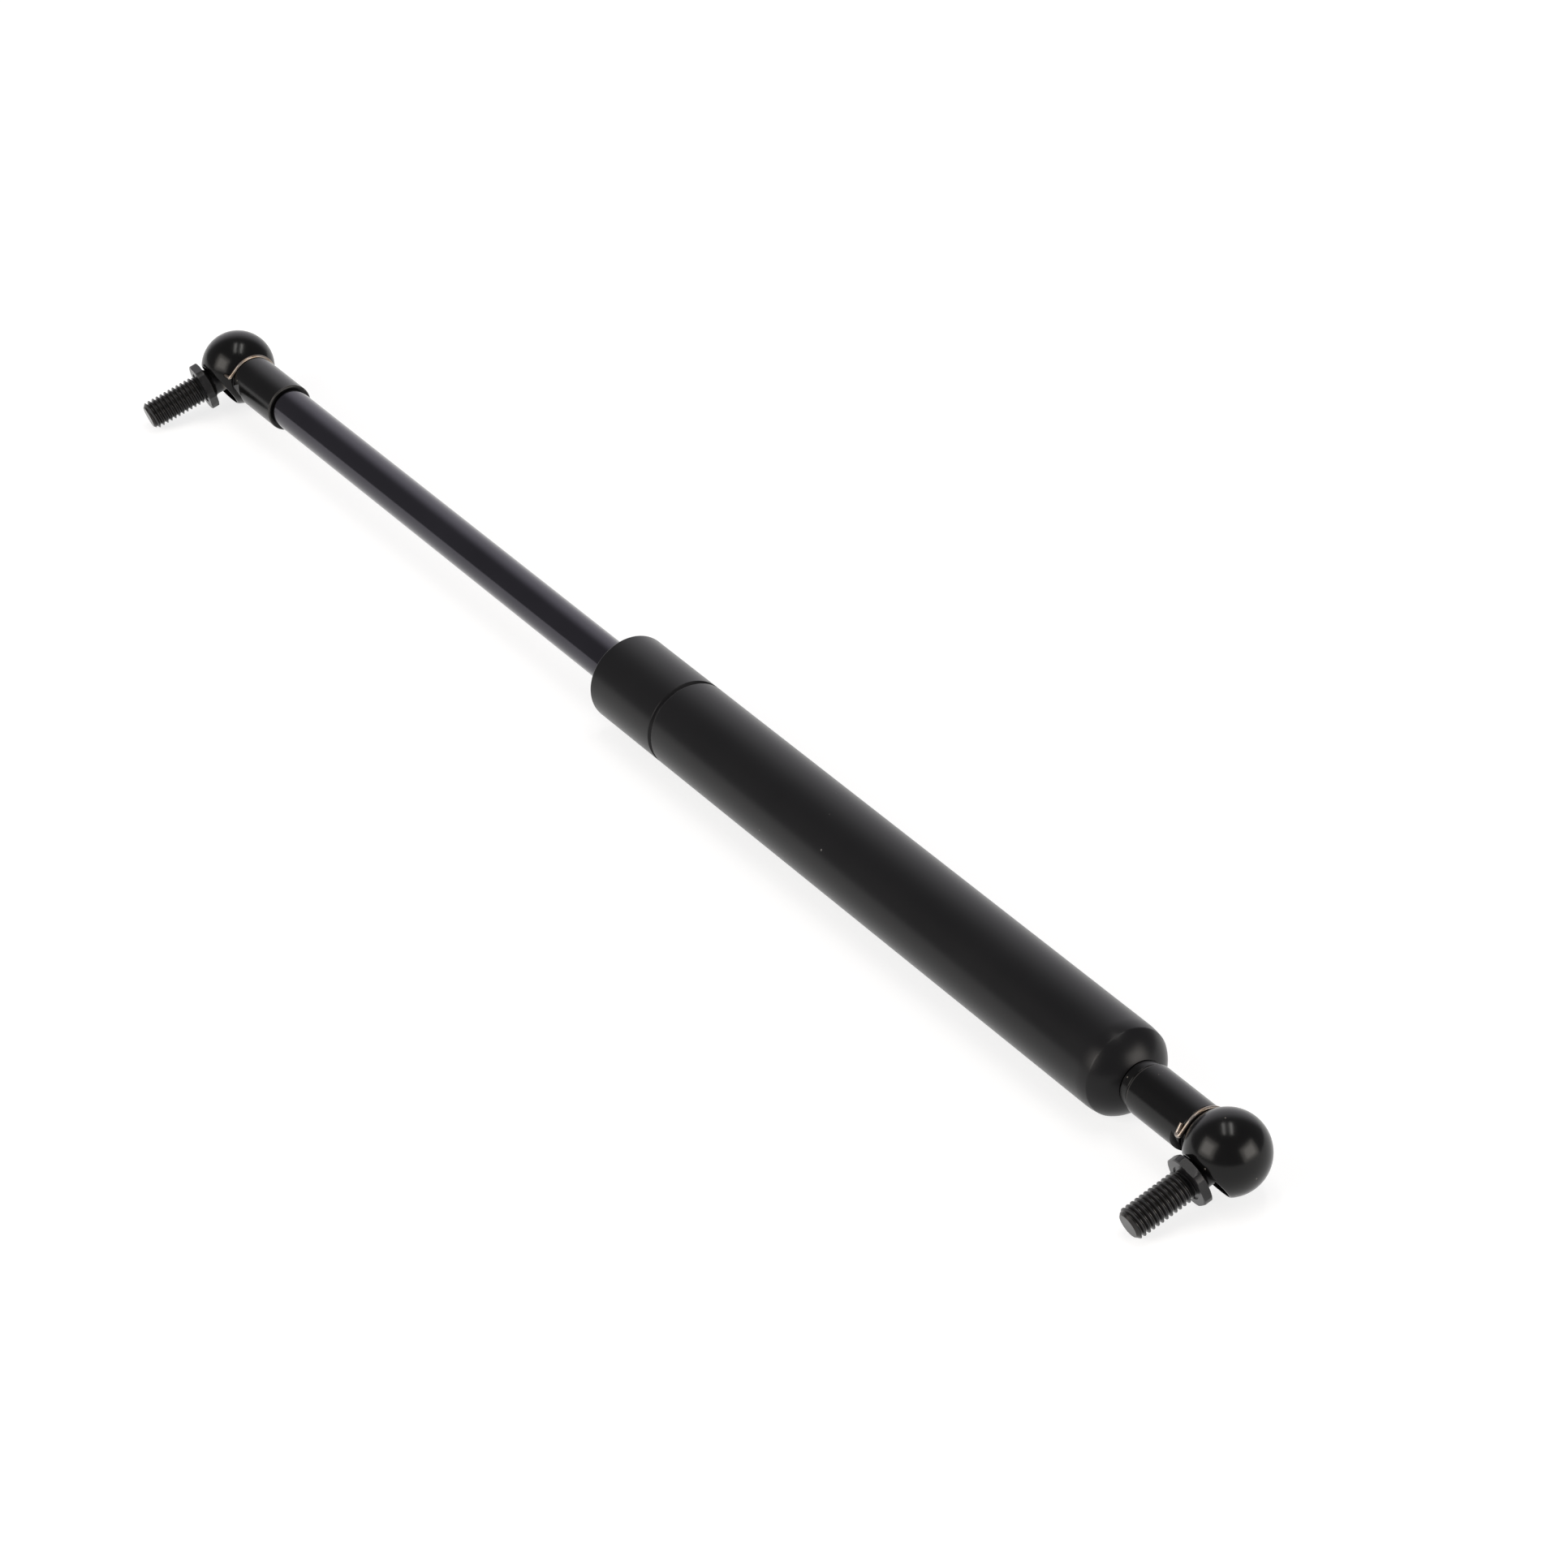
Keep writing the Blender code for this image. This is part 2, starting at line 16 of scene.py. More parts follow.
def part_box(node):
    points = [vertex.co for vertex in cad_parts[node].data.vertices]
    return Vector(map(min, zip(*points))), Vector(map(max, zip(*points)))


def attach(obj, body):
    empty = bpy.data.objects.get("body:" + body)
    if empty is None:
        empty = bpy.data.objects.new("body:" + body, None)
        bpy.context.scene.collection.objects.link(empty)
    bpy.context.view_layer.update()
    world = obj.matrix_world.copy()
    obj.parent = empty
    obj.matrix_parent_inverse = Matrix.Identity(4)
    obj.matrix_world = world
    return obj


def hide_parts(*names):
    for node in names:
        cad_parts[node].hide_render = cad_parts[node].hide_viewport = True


bl_info = {
    "name": "Gas Strut Stay",
    "version": (1, 0, 0),
    "blender": (4, 5, 0),
    "location": "View3D > Sidebar > Gas Strut",
    "description": "Builds the finished surfaces of a gas strut stay round its packed frame",
    "category": "Object",
}

MM = 0.001
FULL_TURN = 2.0 * math.pi
# How far a straight's last point stands from a rounding, to keep its shading flat
SUPPORT = 0.06 * MM
SHARP_ANGLE = math.radians(28.0)
MERGE_DISTANCE = 0.000001
RING_STEPS = 96
ROUND_STEPS = 128

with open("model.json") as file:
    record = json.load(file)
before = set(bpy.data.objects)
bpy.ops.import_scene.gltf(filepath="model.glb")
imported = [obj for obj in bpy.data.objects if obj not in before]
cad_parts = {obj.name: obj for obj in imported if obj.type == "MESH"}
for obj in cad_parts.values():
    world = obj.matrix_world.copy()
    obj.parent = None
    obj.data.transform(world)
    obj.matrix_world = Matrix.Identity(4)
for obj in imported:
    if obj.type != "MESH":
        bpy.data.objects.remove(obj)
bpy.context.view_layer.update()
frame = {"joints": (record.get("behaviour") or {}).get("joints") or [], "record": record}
JOINTS = {joint["name"]: joint for joint in frame["joints"]}
MOUNTS = {mount["name"]: mount for mount in frame["record"]["mounts"]}


# Places, read from the frame


def standing(origin, z_axis, x_axis):
    """A matrix that stands a piece made about Z at an origin, its X as near x_axis as it goes."""
    z_axis = z_axis.normalized()
    x_axis = (x_axis - z_axis * x_axis.dot(z_axis)).normalized()
    turn = Matrix((x_axis, z_axis.cross(x_axis), z_axis)).transposed()
    return Matrix.Translation(origin) @ turn.to_4x4()


class JointEnd:
    """Where one ball joint is: its centre, and the ways its neck, mouth and stud point."""

    def __init__(self, name, body, neck):
        self.name = name
        self.body = body
        self.centre = Vector(JOINTS[name + "_tilt"]["pos_m"])
        self.neck = neck
        self.mouth = Vector(JOINTS[name + "_swivel"]["axis"]).normalized()
        self.stud = Vector(MOUNTS[name + "_stud_face"]["axis"]).normalized()

    def along_neck(self):
        return standing(self.centre, self.neck, -self.mouth)

    def in_socket(self):
        return standing(self.centre, self.mouth, self.neck)

    def along_stud(self):
        return standing(self.centre, self.stud, self.neck)


TOWARDS_CYLINDER = Vector((1.0, 0.0, 0.0))
ENDS = (
    JointEnd("rod_end", "rod", TOWARDS_CYLINDER),
    JointEnd("cylinder_end", "cylinder", -TOWARDS_CYLINDER),
)
STRUT_START = ENDS[0].centre
BALL_SPACING = (ENDS[1].centre - ENDS[0].centre).length


def along_strut(station=0.0):
    """Stands a turned piece on the strut's axis, a distance from the rod-end ball centre."""
    origin = STRUT_START + TOWARDS_CYLINDER * station
    return standing(origin, TOWARDS_CYLINDER, Vector((0.0, 0.0, -1.0)))


def node_span(node):
    """Start station, end station and radius of a round CAD node on the strut's axis."""
    low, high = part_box(node)
    return low.x - STRUT_START.x, high.x - STRUT_START.x, (high.z - low.z) / 2


def node_width(node):
    start, end, _ = node_span(node)
    return end - start


NECK_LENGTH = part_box("rod_end_socket")[1].x - STRUT_START.x
COLLAR_END = (Vector(MOUNTS["rod_end_stud_face"]["pos_m"]) - STRUT_START).dot(ENDS[0].stud)


# Making shapes


def arc(centre, radius, start_deg, end_deg, steps):
    """Points of an arc as (radius, height), angles from the radial axis towards +height."""
    points = []
    for i in range(steps + 1):
        angle = math.radians(start_deg + (end_deg - start_deg) * i / steps)
        points.append((centre[0] + radius * math.cos(angle),
                       centre[1] + radius * math.sin(angle)))
    return points


def round_bottom(radius, start_deg, steps):
    """The arc that closes a section on a ball about the origin, and its pole."""
    return arc((0.0, 0.0), radius, start_deg, -90.0, steps)[:-1] + [(0.0, -radius)]


def rounded(corners, closed=False, steps=5):
    """A section from corners (radius, height) or (radius, height, rounding)."""
    count = len(corners)
    section = []
    for i, corner in enumerate(corners):
        point = Vector(corner[:2])
        at_end = not closed and i in (0, count - 1)
        if len(corner) == 2 or at_end:
            section.append(tuple(point))
            continue
        rounding = corner[2]
        before = Vector(corners[i - 1][:2])
        after = Vector(corners[(i + 1) % count][:2])
        into = (point - before).normalized()
        out = (after - point).normalized()
        turn = into.angle_signed(out, 0.0)
        reach = rounding * math.tan(abs(turn) / 2)
        start = point - into * reach
        side = Vector((-into.y, into.x)) * (-1.0 if turn > 0 else 1.0)
        centre = start + side * rounding
        if (point - before).length > reach + 2 * SUPPORT:
            section.append(tuple(start - into * SUPPORT))
        spoke = start - centre
        for k in range(steps + 1):
            swing = -turn * k / steps
            cosine, sine = math.cos(swing), math.sin(swing)
            section.append((centre.x + spoke.x * cosine - spoke.y * sine,
                            centre.y + spoke.x * sine + spoke.y * cosine))
        if (after - point).length > reach + 2 * SUPPORT:
            section.append(tuple(point + out * (reach + SUPPORT)))
    return section


def turned(section, steps, closed=False):
    """A section of (radius, height) points spun a full turn about Z."""
    shape = bmesh.new()
    verts = [shape.verts.new((radius, 0.0, height)) for radius, height in section]
    edges = [shape.edges.new(pair) for pair in zip(verts, verts[1:])]
    if closed:
        edges.append(shape.edges.new((verts[-1], verts[0])))
    bmesh.ops.spin(shape, geom=verts + edges, cent=(0.0, 0.0, 0.0), axis=(0.0, 0.0, 1.0),
                   angle=FULL_TURN, steps=steps, use_merge=True)
    bmesh.ops.remove_doubles(shape, verts=shape.verts, dist=MERGE_DISTANCE)
    bmesh.ops.recalc_face_normals(shape, faces=shape.faces)
    return shape


def soften(shape, edges, offset):
    bmesh.ops.bevel(shape, geom=edges, offset=offset, segments=3, affect="EDGES", profile=0.5,
                    material=-1)


def made_object(name, shape, place):
    """A mesh object at the origin, with the shape's place taken into its mesh."""
    shape.transform(place)
    mesh = bpy.data.meshes.new(name)
    shape.to_mesh(mesh)
    shape.free()
    obj = bpy.data.objects.new(name, mesh)
    bpy.context.scene.collection.objects.link(obj)
    return obj


def combine(obj, other, operation):
    """Cuts obj with other, or joins them, and takes other away."""
    modifier = obj.modifiers.new("Combine", "BOOLEAN")
    modifier.operation = operation
    modifier.solver = "EXACT"
    modifier.object = other
    bpy.context.view_layer.update()
    evaluated = obj.evaluated_get(bpy.context.evaluated_depsgraph_get())
    mesh = bpy.data.meshes.new_from_object(evaluated)
    obj.modifiers.clear()
    obj.data = mesh
    bpy.data.objects.remove(other, do_unlink=True)


def finish_piece(obj, finish, body, node):
    """Smooths a piece, gives it its finish and its body, and hides the CAD node it stands for."""
    mesh = obj.data
    mesh.shade_smooth()
    mesh.set_sharp_from_angle(angle=SHARP_ANGLE)
    mesh.materials.clear()
    mesh.materials.append(finish)
    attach(obj, body)
    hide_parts(node)


def turned_piece(node, section, place, steps, finish, body, closed=False):
    obj = made_object(node + "_finished", turned(section, steps, closed), place)
    finish_piece(obj, finish, body, node)


def plain_ring(bore, outer, width, bore_rounding, outer_rounding):
    """Corners of a plain ring, from its far bore edge round to its near one."""
    return [(bore, width, bore_rounding), (outer, width, outer_rounding),
            (outer, 0.0, outer_rounding), (bore, 0.0, bore_rounding)]


def turned_ring(node, corners, finish, body):
    """A closed ring whose corners count from its node's start."""
    turned_piece(node, rounded(corners, closed=True), along_strut(node_span(node)[0]),
                 RING_STEPS, finish, body, closed=True)


class BentWire:
    """A round wire made as on a bending bench: it is fed straight and bent about pins."""

    SIDES = 20
    BURR = 0.25

    def __init__(self, radius, start, direction):
        self.shape = bmesh.new()
        self.radius = radius
        self.at = Vector(start)
        self.direction = Vector(direction).normalized()
        aim = self.direction.to_track_quat("Z", "X").to_matrix().to_4x4()
        ring = bmesh.ops.create_circle(self.shape, cap_ends=True, segments=self.SIDES,
                                       radius=radius, matrix=Matrix.Translation(self.at) @ aim)
        verts = ring["verts"]
        self.first_ring = set(verts)
        self.rim = list({edge for vert in verts for edge in vert.link_edges})

    def feed(self, length):
        made = bmesh.ops.extrude_edge_only(self.shape, edges=self.rim)["geom"]
        verts = {item for item in made if isinstance(item, bmesh.types.BMVert)}
        bmesh.ops.translate(self.shape, verts=list(verts), vec=self.direction * length)
        self.rim = [edge for edge in {edge for vert in verts for edge in vert.link_edges}
                    if set(edge.verts) <= verts]
        self.at += self.direction * length

    def bend(self, towards, pin_radius, angle, steps):
        """Bends the wire about a pin on the side it turns towards."""
        side = (towards - self.direction * towards.dot(self.direction)).normalized()
        axis = self.direction.cross(side)
        centre = self.at + side * pin_radius
        geometry = self.rim + list({vert for edge in self.rim for vert in edge.verts})
        last = bmesh.ops.spin(self.shape, geom=geometry, cent=centre, axis=axis, angle=angle,
                              steps=steps)["geom_last"]
        self.rim = [item for item in last if isinstance(item, bmesh.types.BMEdge)]
        turn = Matrix.Rotation(angle, 3, axis)
        self.at = centre + turn @ (self.at - centre)
        self.direction = turn @ self.direction

    def cut(self):
        """Closes the cut end and takes the burr off both ends."""
        cap = bmesh.ops.edgeloop_fill(self.shape, edges=self.rim)["faces"][0]
        first = [face for face in self.shape.faces if set(face.verts) == self.first_ring][0]
        bmesh.ops.recalc_face_normals(self.shape, faces=self.shape.faces)
        soften(self.shape, list(cap.edges) + list(first.edges), self.radius * self.BURR)
        return self.shape


# Finishes


class Signal:
    """An output socket of a graph. Arithmetic on it adds Math nodes."""

    def __init__(self, graph, socket):
        self.graph = graph
        self.socket = socket

    def math(self, operation, *values):
        return self.graph.node("ShaderNodeMath", {"operation": operation}, values)

    def __add__(self, other):
        return self.math("ADD", self, other)

    def __sub__(self, other):
        return self.math("SUBTRACT", self, other)

    def __rsub__(self, other):
        return self.math("SUBTRACT", other, self)

    def __mul__(self, other):
        return self.math("MULTIPLY", self, other)

    def __truediv__(self, other):
        return self.math("DIVIDE", self, other)

    def __gt__(self, other):
        return self.math("GREATER_THAN", self, other)

    __radd__ = __add__
    __rmul__ = __mul__

    def twin(self, output):
        """Another output of the same node."""
        return Signal(self.graph, self.socket.node.outputs[output])

    def band(self, low, high):
        """0 below low, 1 above high, smooth between."""
        settings = {"interpolation_type": "SMOOTHSTEP"}
        return self.graph.node("ShaderNodeMapRange", settings,
                               {"Value": self, "From Min": low, "From Max": high})


class Graph:
    """A node tree that is written as expressions on signals."""

    def __init__(self, tree):
        self.tree = tree

    def _feed(self, socket, value):
        if isinstance(value, Signal):
            self.tree.links.new(value.socket, socket)
        else:
            socket.default_value = value

    def node(self, kind, settings, values, output=0):
        made = self.tree.nodes.new(kind)
        for name, value in settings.items():
            setattr(made, name, value)
        pairs = values.items() if isinstance(values, dict) else enumerate(values)
        for key, value in pairs:
            self._feed(made.inputs[key], value)
        return Signal(self, made.outputs[output])

    def mix(self, factor, first, second):
        settings = {"data_type": "RGBA"}
        return self.node("ShaderNodeMix", settings, {0: factor, 6: first, 7: second}, output=2)

    def vector(self, operation, *values, output=0):
        return self.node("ShaderNodeVectorMath", {"operation": operation}, values, output)

    def along(self, vector, direction):
        """How far a vector goes along a unit direction."""
        return self.vector("DOT_PRODUCT", vector, tuple(direction), output="Value")


class Finish(Graph):
    """A surface finish: one Principled shader, and the nodes that vary it."""

    def __init__(self, name, colour, metallic, roughness, specular=0.5):
        self.material = bpy.data.materials.new(name)
        self.material.use_nodes = True
        super().__init__(self.material.node_tree)
        self.shader = self.tree.nodes["Principled BSDF"]
        self.colour = colour
        self.set({"Base Color": shade(colour, 1.0), "Metallic": metallic,
                  "Roughness": roughness, "Specular IOR Level": specular})

    def set(self, values):
        for name, value in values.items():
            self._feed(self.shader.inputs[name], value)

    def place(self):
        """The point on the piece, in metres."""
        return self.node("ShaderNodeTexCoord", {}, {}, output="Object")

    def stretched(self, *scale):
        values = {"Vector": self.place(), "Scale": scale}
        return self.node("ShaderNodeMapping", {"vector_type": "POINT"}, values)

    def noise(self, scale, detail=2.0, roughness=0.5, vector=None):
        values = {"Vector": vector or self.place(), "Scale": scale, "Detail": detail,
                  "Roughness": roughness}
        return self.node("ShaderNodeTexNoise", {}, values)

    def about(self, origin, direction):
        """Distance from a line through origin along a unit direction, and distance along it."""
        offset = self.vector("SUBTRACT", self.place(), tuple(origin))
        crossed = self.vector("CROSS_PRODUCT", offset, tuple(direction))
        return self.vector("LENGTH", crossed, output="Value"), self.along(offset, direction)

    def shades(self, factor, low, high):
        """From one shade of the finish's own colour to another."""
        return self.mix(factor, shade(self.colour, low), shade(self.colour, high))

    def specks(self, cell, radius, share):
        """Sparse round specks: 1 on a speck, 0 off it."""
        values = {"Vector": self.place(), "Scale": 1.0 / cell, "Randomness": 1.0}
        near = self.node("ShaderNodeTexVoronoi", {}, values, output="Distance")
        chance = self.node("ShaderNodeSeparateColor", {}, {"Color": near.twin("Color")})
        size = chance * (radius / cell)
        return (1.0 - (near / (size + 0.0001))).band(0.0, 0.4) * (chance > 1.0 - share)

    def bump(self, height, depth, strength):
        """Feeds a height of 0 to 1 into the surface as relief of a depth in metres."""
        values = {"Strength": strength, "Distance": depth, "Height": height}
        self.set({"Normal": self.node("ShaderNodeBump", {}, values)})

    def vary(self, base, roughness, metallic=None):
        self.set({"Base Color": base, "Roughness": roughness})
        if metallic:
            self.set({"Metallic": metallic})


def shade(colour, factor):
    return tuple(channel * factor for channel in colour[:3]) + (1.0,)


GREY_DUST = (0.20, 0.19, 0.18, 1.0)
TAN_DUST = (0.22, 0.20, 0.17, 1.0)
RIM_WEAR_AND_HIGHLIGHT = (0.045, 0.043, 0.041, 1.0)
OIL = (0.012, 0.010, 0.008, 1.0)


def black_paint(colours):
    """Baked satin enamel: faint orange peel, cloudy sheen, rub marks and a little dust."""
    finish = Finish("tube_black_enamel", colours.tube, 0.0, 0.32, 0.19)
    peel = finish.noise(900.0, 2.0, 0.5)
    cloud = finish.noise(45.0, 3.0, 0.55)
    rub = finish.noise(60.0, 4.0, 0.6, finish.stretched(0.12, 1.0, 1.0))
    rub_mark = rub.band(0.60, 0.74) * finish.noise(20.0, 1.0).band(0.45, 0.7)
    dust = finish.specks(5.0 * MM, 0.35 * MM, 0.45)
    base = finish.shades(cloud, 0.85, 1.2)
    base = finish.mix(rub_mark * 0.35, base, shade(colours.tube, 2.6))
    base = finish.mix(dust * 0.6, base, GREY_DUST)
    finish.vary(base, cloud * 0.06 + 0.26 + rub_mark * 0.10 + dust * 0.3)
    finish.bump(peel + dust * 2.0, 0.004 * MM, 0.35)
    return finish.material


def hard_rod(colours):
    """Black nitrided rod: dark metal sheen with fine grinding rings and a few handling marks."""
    finish = Finish("rod_black_nitrided", colours.rod, 0.9, 0.13, 0.2)
    rings = finish.noise(1.0, 3.0, 0.7, finish.stretched(9000.0, 120.0, 120.0))
    bands = finish.noise(1.0, 2.0, 0.5, finish.stretched(420.0, 40.0, 40.0))
    cloud = finish.noise(70.0, 3.0, 0.5)
    base = finish.shades(cloud, 0.85, 1.15)
    dust = finish.specks(5.0 * MM, 0.25 * MM, 0.3)
    base = finish.mix(dust * 0.5, base, GREY_DUST)
    finish.vary(base, rings * 0.05 + bands * 0.03 + 0.08)
    finish.bump(rings, 0.0012 * MM, 0.4)
    return finish.material


def joint_black(colours, name, end=None, sizes=None):
    """Black passivated steel: soft grain from barrel plating, dust, and the neck's end edge
    painted lighter, partly as rubbing and partly as a painted highlight.
    """
    finish = Finish(name, colours.socket, 0.0, 0.19, 0.24)
    grain = finish.noise(1500.0, 2.0, 0.6)
    pits = finish.noise(420.0, 3.0, 0.6)
    cloud = finish.noise(160.0, 3.0, 0.55)
    dust = finish.specks(3.2 * MM, 0.3 * MM, 0.5)
    base = finish.shades(cloud, 0.8, 1.25)
    if end:
        # The neck's end edge is painted lighter: partly a rubbed edge, partly a painted highlight
        # where the chamfer's rim catches the light.
        distance, station = finish.about(end.centre, end.neck)
        rim = station.band(sizes.neck_length - 0.65 * MM, sizes.neck_length - 0.55 * MM)
        rim = rim * distance.band(sizes.neck_radius - 0.4 * MM, sizes.neck_radius - 0.3 * MM)
        base = finish.mix(rim * (cloud * 0.8 + 0.2), base, RIM_WEAR_AND_HIGHLIGHT)
    base = finish.mix(dust * 0.55, base, TAN_DUST)
    finish.vary(base, cloud * 0.06 + pits * 0.03 + 0.15 + dust * 0.2)
    finish.bump(grain * 0.5 + pits + dust, 0.004 * MM, 0.3)
    return finish.material


def stud_black(colours, end):
    """Oiled black-oxide steel: rolled thread with crests painted lighter, partly as rubbing and
    partly as a painted highlight, and oil in its roots.
    """
    finish = Finish(end.name + "_stud_black_oxide", colours.stud, 0.3, 0.3, 0.45)
    distance, height = finish.about(end.centre, end.stud)
    on_thread = height.band(12.2 * MM, 12.8 * MM)
    crest = distance.band(3.6 * MM, 3.95 * MM) * on_thread
    root = (1.0 - distance.band(3.3 * MM, 3.7 * MM)) * on_thread
    ball = 1.0 - height.band(6.0 * MM, 7.0 * MM)
    cloud = finish.noise(260.0, 4.0, 0.6)
    grain = finish.noise(1800.0, 3.0, 0.6)
    base = finish.shades(cloud, 0.7, 1.25)
    # Crests painted lighter: partly rubbed black oxide, partly a painted highlight along each
    # crest.
    base = finish.mix(crest * cloud * 0.7, base, shade(colours.stud, 3.2))
    base = finish.mix(root * 0.6, base, OIL)
    base = finish.mix(ball * 0.7, base, shade(colours.wire, 0.45))
    finish.vary(base, cloud * 0.12 + 0.24 - root * 0.06 - ball * 0.12,
                metallic=ball * 0.5 + 0.3)
    finish.bump(grain + cloud, 0.004 * MM, 0.3)
    return finish.material


def drawn_wire(colours):
    """Bright spring wire with drawing lines and a warm tempered tint."""
    finish = Finish("clip_spring_wire", colours.wire, 1.0, 0.3)
    lines = finish.noise(2600.0, 3.0, 0.6)
    cloud = finish.noise(300.0, 3.0, 0.6)
    base = finish.mix(cloud.band(0.35, 0.7), shade(colours.wire, 1.05),
                      shade((colours.wire[0], colours.wire[1] * 0.86, colours.wire[2] * 0.72),
                            0.7))
    finish.vary(base, lines * 0.15 + cloud * 0.1 + 0.2)
    finish.bump(lines, 0.002 * MM, 0.3)
    return finish.material


def turned_steel(colours):
    """Plain machined steel with fine tool rings."""
    finish = Finish("turned_steel", colours.steel, 1.0, 0.34)
    rings = finish.noise(1.0, 2.0, 0.6, finish.stretched(6000.0, 150.0, 150.0))
    cloud = finish.noise(200.0, 3.0, 0.5)
    base = finish.shades(cloud, 0.8, 1.1)
    finish.vary(base, rings * 0.15 + cloud * 0.1 + 0.22)
    finish.bump(rings, 0.002 * MM, 0.4)
    return finish.material


def seal_rubber(colours):
    """Moulded nitrile rubber: matte, slightly mottled with a dusting of release agent."""
    finish = Finish("seal_rubber", colours.rubber, 0.0, 0.75, 0.35)
    mottle = finish.noise(500.0, 4.0, 0.6)
    base = finish.shades(mottle, 0.7, 1.5)
    finish.vary(base, mottle * 0.2 + 0.6)
    finish.bump(finish.noise(2200.0, 2.0), 0.006 * MM, 0.4)
    return finish.material


def guide_plastic(colours):
    """Moulded acetal: waxy sheen over faint flow marks."""
    finish = Finish("guide_acetal", colours.plastic, 0.0, 0.42, 0.45)
    flow = finish.noise(1.0, 3.0, 0.5, finish.stretched(260.0, 90.0, 90.0))
    base = finish.shades(flow, 0.86, 1.1)
    finish.vary(base, flow * 0.14 + 0.34)
    finish.bump(flow, 0.004 * MM, 0.3)
    return finish.material


# Settings


def length(name, description, default):
    return FloatProperty(name=name, description=description, default=default, min=0.0,
                         precision=5, unit="LENGTH", subtype="DISTANCE")


def colour(name, description, default):
    return FloatVectorProperty(name=name, description=description, default=default, size=3,
                               min=0.0, max=1.0, subtype="COLOR")


class StrutSizes(bpy.types.PropertyGroup):
    tube_wall: length("Tube wall", "Thickness of the pressure tube's wall", 1.5 * MM)
    lip_rounding: length("Lip rounding", "Rounding of the tube's front edge", 0.6 * MM)
    lip_hole: length("Lip hole", "Radius of the hole in the turned-in lip", 6.6 * MM)
    dome_rounding: length("Dome rounding", "Rounding of the dome's inner face", 6.75 * MM)
    crease_station: length("Crease", "Where the dome starts, from the rod-end ball centre",
                           414.4 * MM)
    shoulder_length: length("Shoulder", "Length of the taper before the crease", 3.8 * MM)
    dome_hole: length("Dome hole", "Radius of the hole that the plug passes", 5.8 * MM)
    groove_station: length("Groove", "Rolled groove, from the rod-end ball centre", 231.4 * MM)
    groove_width: length("Groove width", "Width of the rolled groove at the surface", 1.5 * MM)
    groove_depth: length("Groove depth", "Depth of the rolled groove", 0.6 * MM)
    stub_radius: length("Stub", "Radius of the plug's short outer stub", 6.0 * MM)
    thread_radius: length("Thread", "Crest radius of the threads", 3.94 * MM)
    ring_bore: length("Ring bore", "Bore of the rings that the rod slides in", 5.8 * MM)
    sleeve_bore: length("Sleeve bore", "Radius of the stop sleeve's bore", 6.8 * MM)
    spigot_radius: length("Spigot", "Radius of the rod's end inside the piston", 3.0 * MM)
    gap: length("Gap", "Room left between neighbouring pieces", 0.3 * MM)
    facets: IntProperty(name="Facets", description="Faces round a large turned piece",
                        default=160, min=24, max=512)


class JointSizes(bpy.types.PropertyGroup):
    head_radius: length("Head", "Radius of the socket's ball head", 10.0 * MM)
    neck_radius: length("Neck", "Radius of the socket's neck", 6.5 * MM)
    neck_length: length("Neck length", "From the ball centre to the socket's end", NECK_LENGTH)
    mouth_height: length("Mouth", "From the ball centre to the mouth's flat rim", 7.0 * MM)
    cavity_radius: length("Cavity", "Radius of the ball's seat", 6.8 * MM)
    wire_radius: length("Wire", "Radius of the clip's and snap ring's wire", 0.5 * MM)
    clip_station: length("Clip", "From the ball centre to the clip's groove", 8.5 * MM)
    clip_radius: length("Clip ring", "Radius of the clip where it wraps the neck", 6.45 * MM)
    pin_side: length("Pin side", "Distance of the locking pin beside the ball", 5.5 * MM)
    pin_height: length("Pin height", "Height of the locking pin towards the mouth", 4.9 * MM)
    handle_side: length("Handle side", "Distance of the clip's handle beside the neck", 5.6 * MM)
    handle_height: length("Handle height", "Height of the clip's handle", 4.6 * MM)
    fold_radius: length("Fold", "Radius of the handle's fold", 0.56 * MM)


class StudSizes(bpy.types.PropertyGroup):
    ball_radius: length("Ball", "Radius of the stud's ball", 6.5 * MM)
    neck_radius: length("Neck", "Radius of the stud's waist", 3.7 * MM)
    collar_length: length("Collar length", "Length of the hexagon collar", 2.25 * MM)
    collar_end: length("Collar end", "From the ball centre to the seating face", COLLAR_END)
    collar_flats: length("Across flats", "Width of the hexagon across its flats", 12.0 * MM)
    collar_radius: length("Collar", "Radius that the hexagon's corners are turned to", 6.5 * MM)
    relief_radius: length("Relief", "Radius of the recess round the thread", 4.3 * MM)
    relief_depth: length("Relief depth", "Depth of the recess round the thread", 0.3 * MM)
    stud_length: length("Length", "From the ball centre to the stud's tip", 28.2 * MM)
    pitch: length("Pitch", "Pitch of the thread", 1.25 * MM)
    crest_radius: length("Crest", "Radius of the thread's crests", 3.94 * MM)
    root_radius: length("Root", "Radius of the thread's roots", 3.24 * MM)
    tip_chamfer: length("Tip chamfer", "Chamfer at the stud's tip", 1.0 * MM)


class FinishColours(bpy.types.PropertyGroup):
    tube: colour("Tube", "Enamel on the pressure tube", (0.0072, 0.0072, 0.0078))
    rod: colour("Rod", "Nitrided rod", (0.052, 0.050, 0.060))
    socket: colour("Sockets", "Plated ball sockets", (0.0030, 0.0030, 0.0030))
    stud: colour("Studs", "Black-oxide ball studs", (0.0115, 0.0114, 0.0120))
    wire: colour("Wire", "Clip and snap-ring wire", (0.36, 0.32, 0.285))
    steel: colour("Steel", "Plain machined steel", (0.42, 0.41, 0.40))
    rubber: colour("Rubber", "Seal and wiper", (0.014, 0.014, 0.015))
    plastic: colour("Plastic", "Guide bush, sleeve and piston ring", (0.40, 0.37, 0.30))


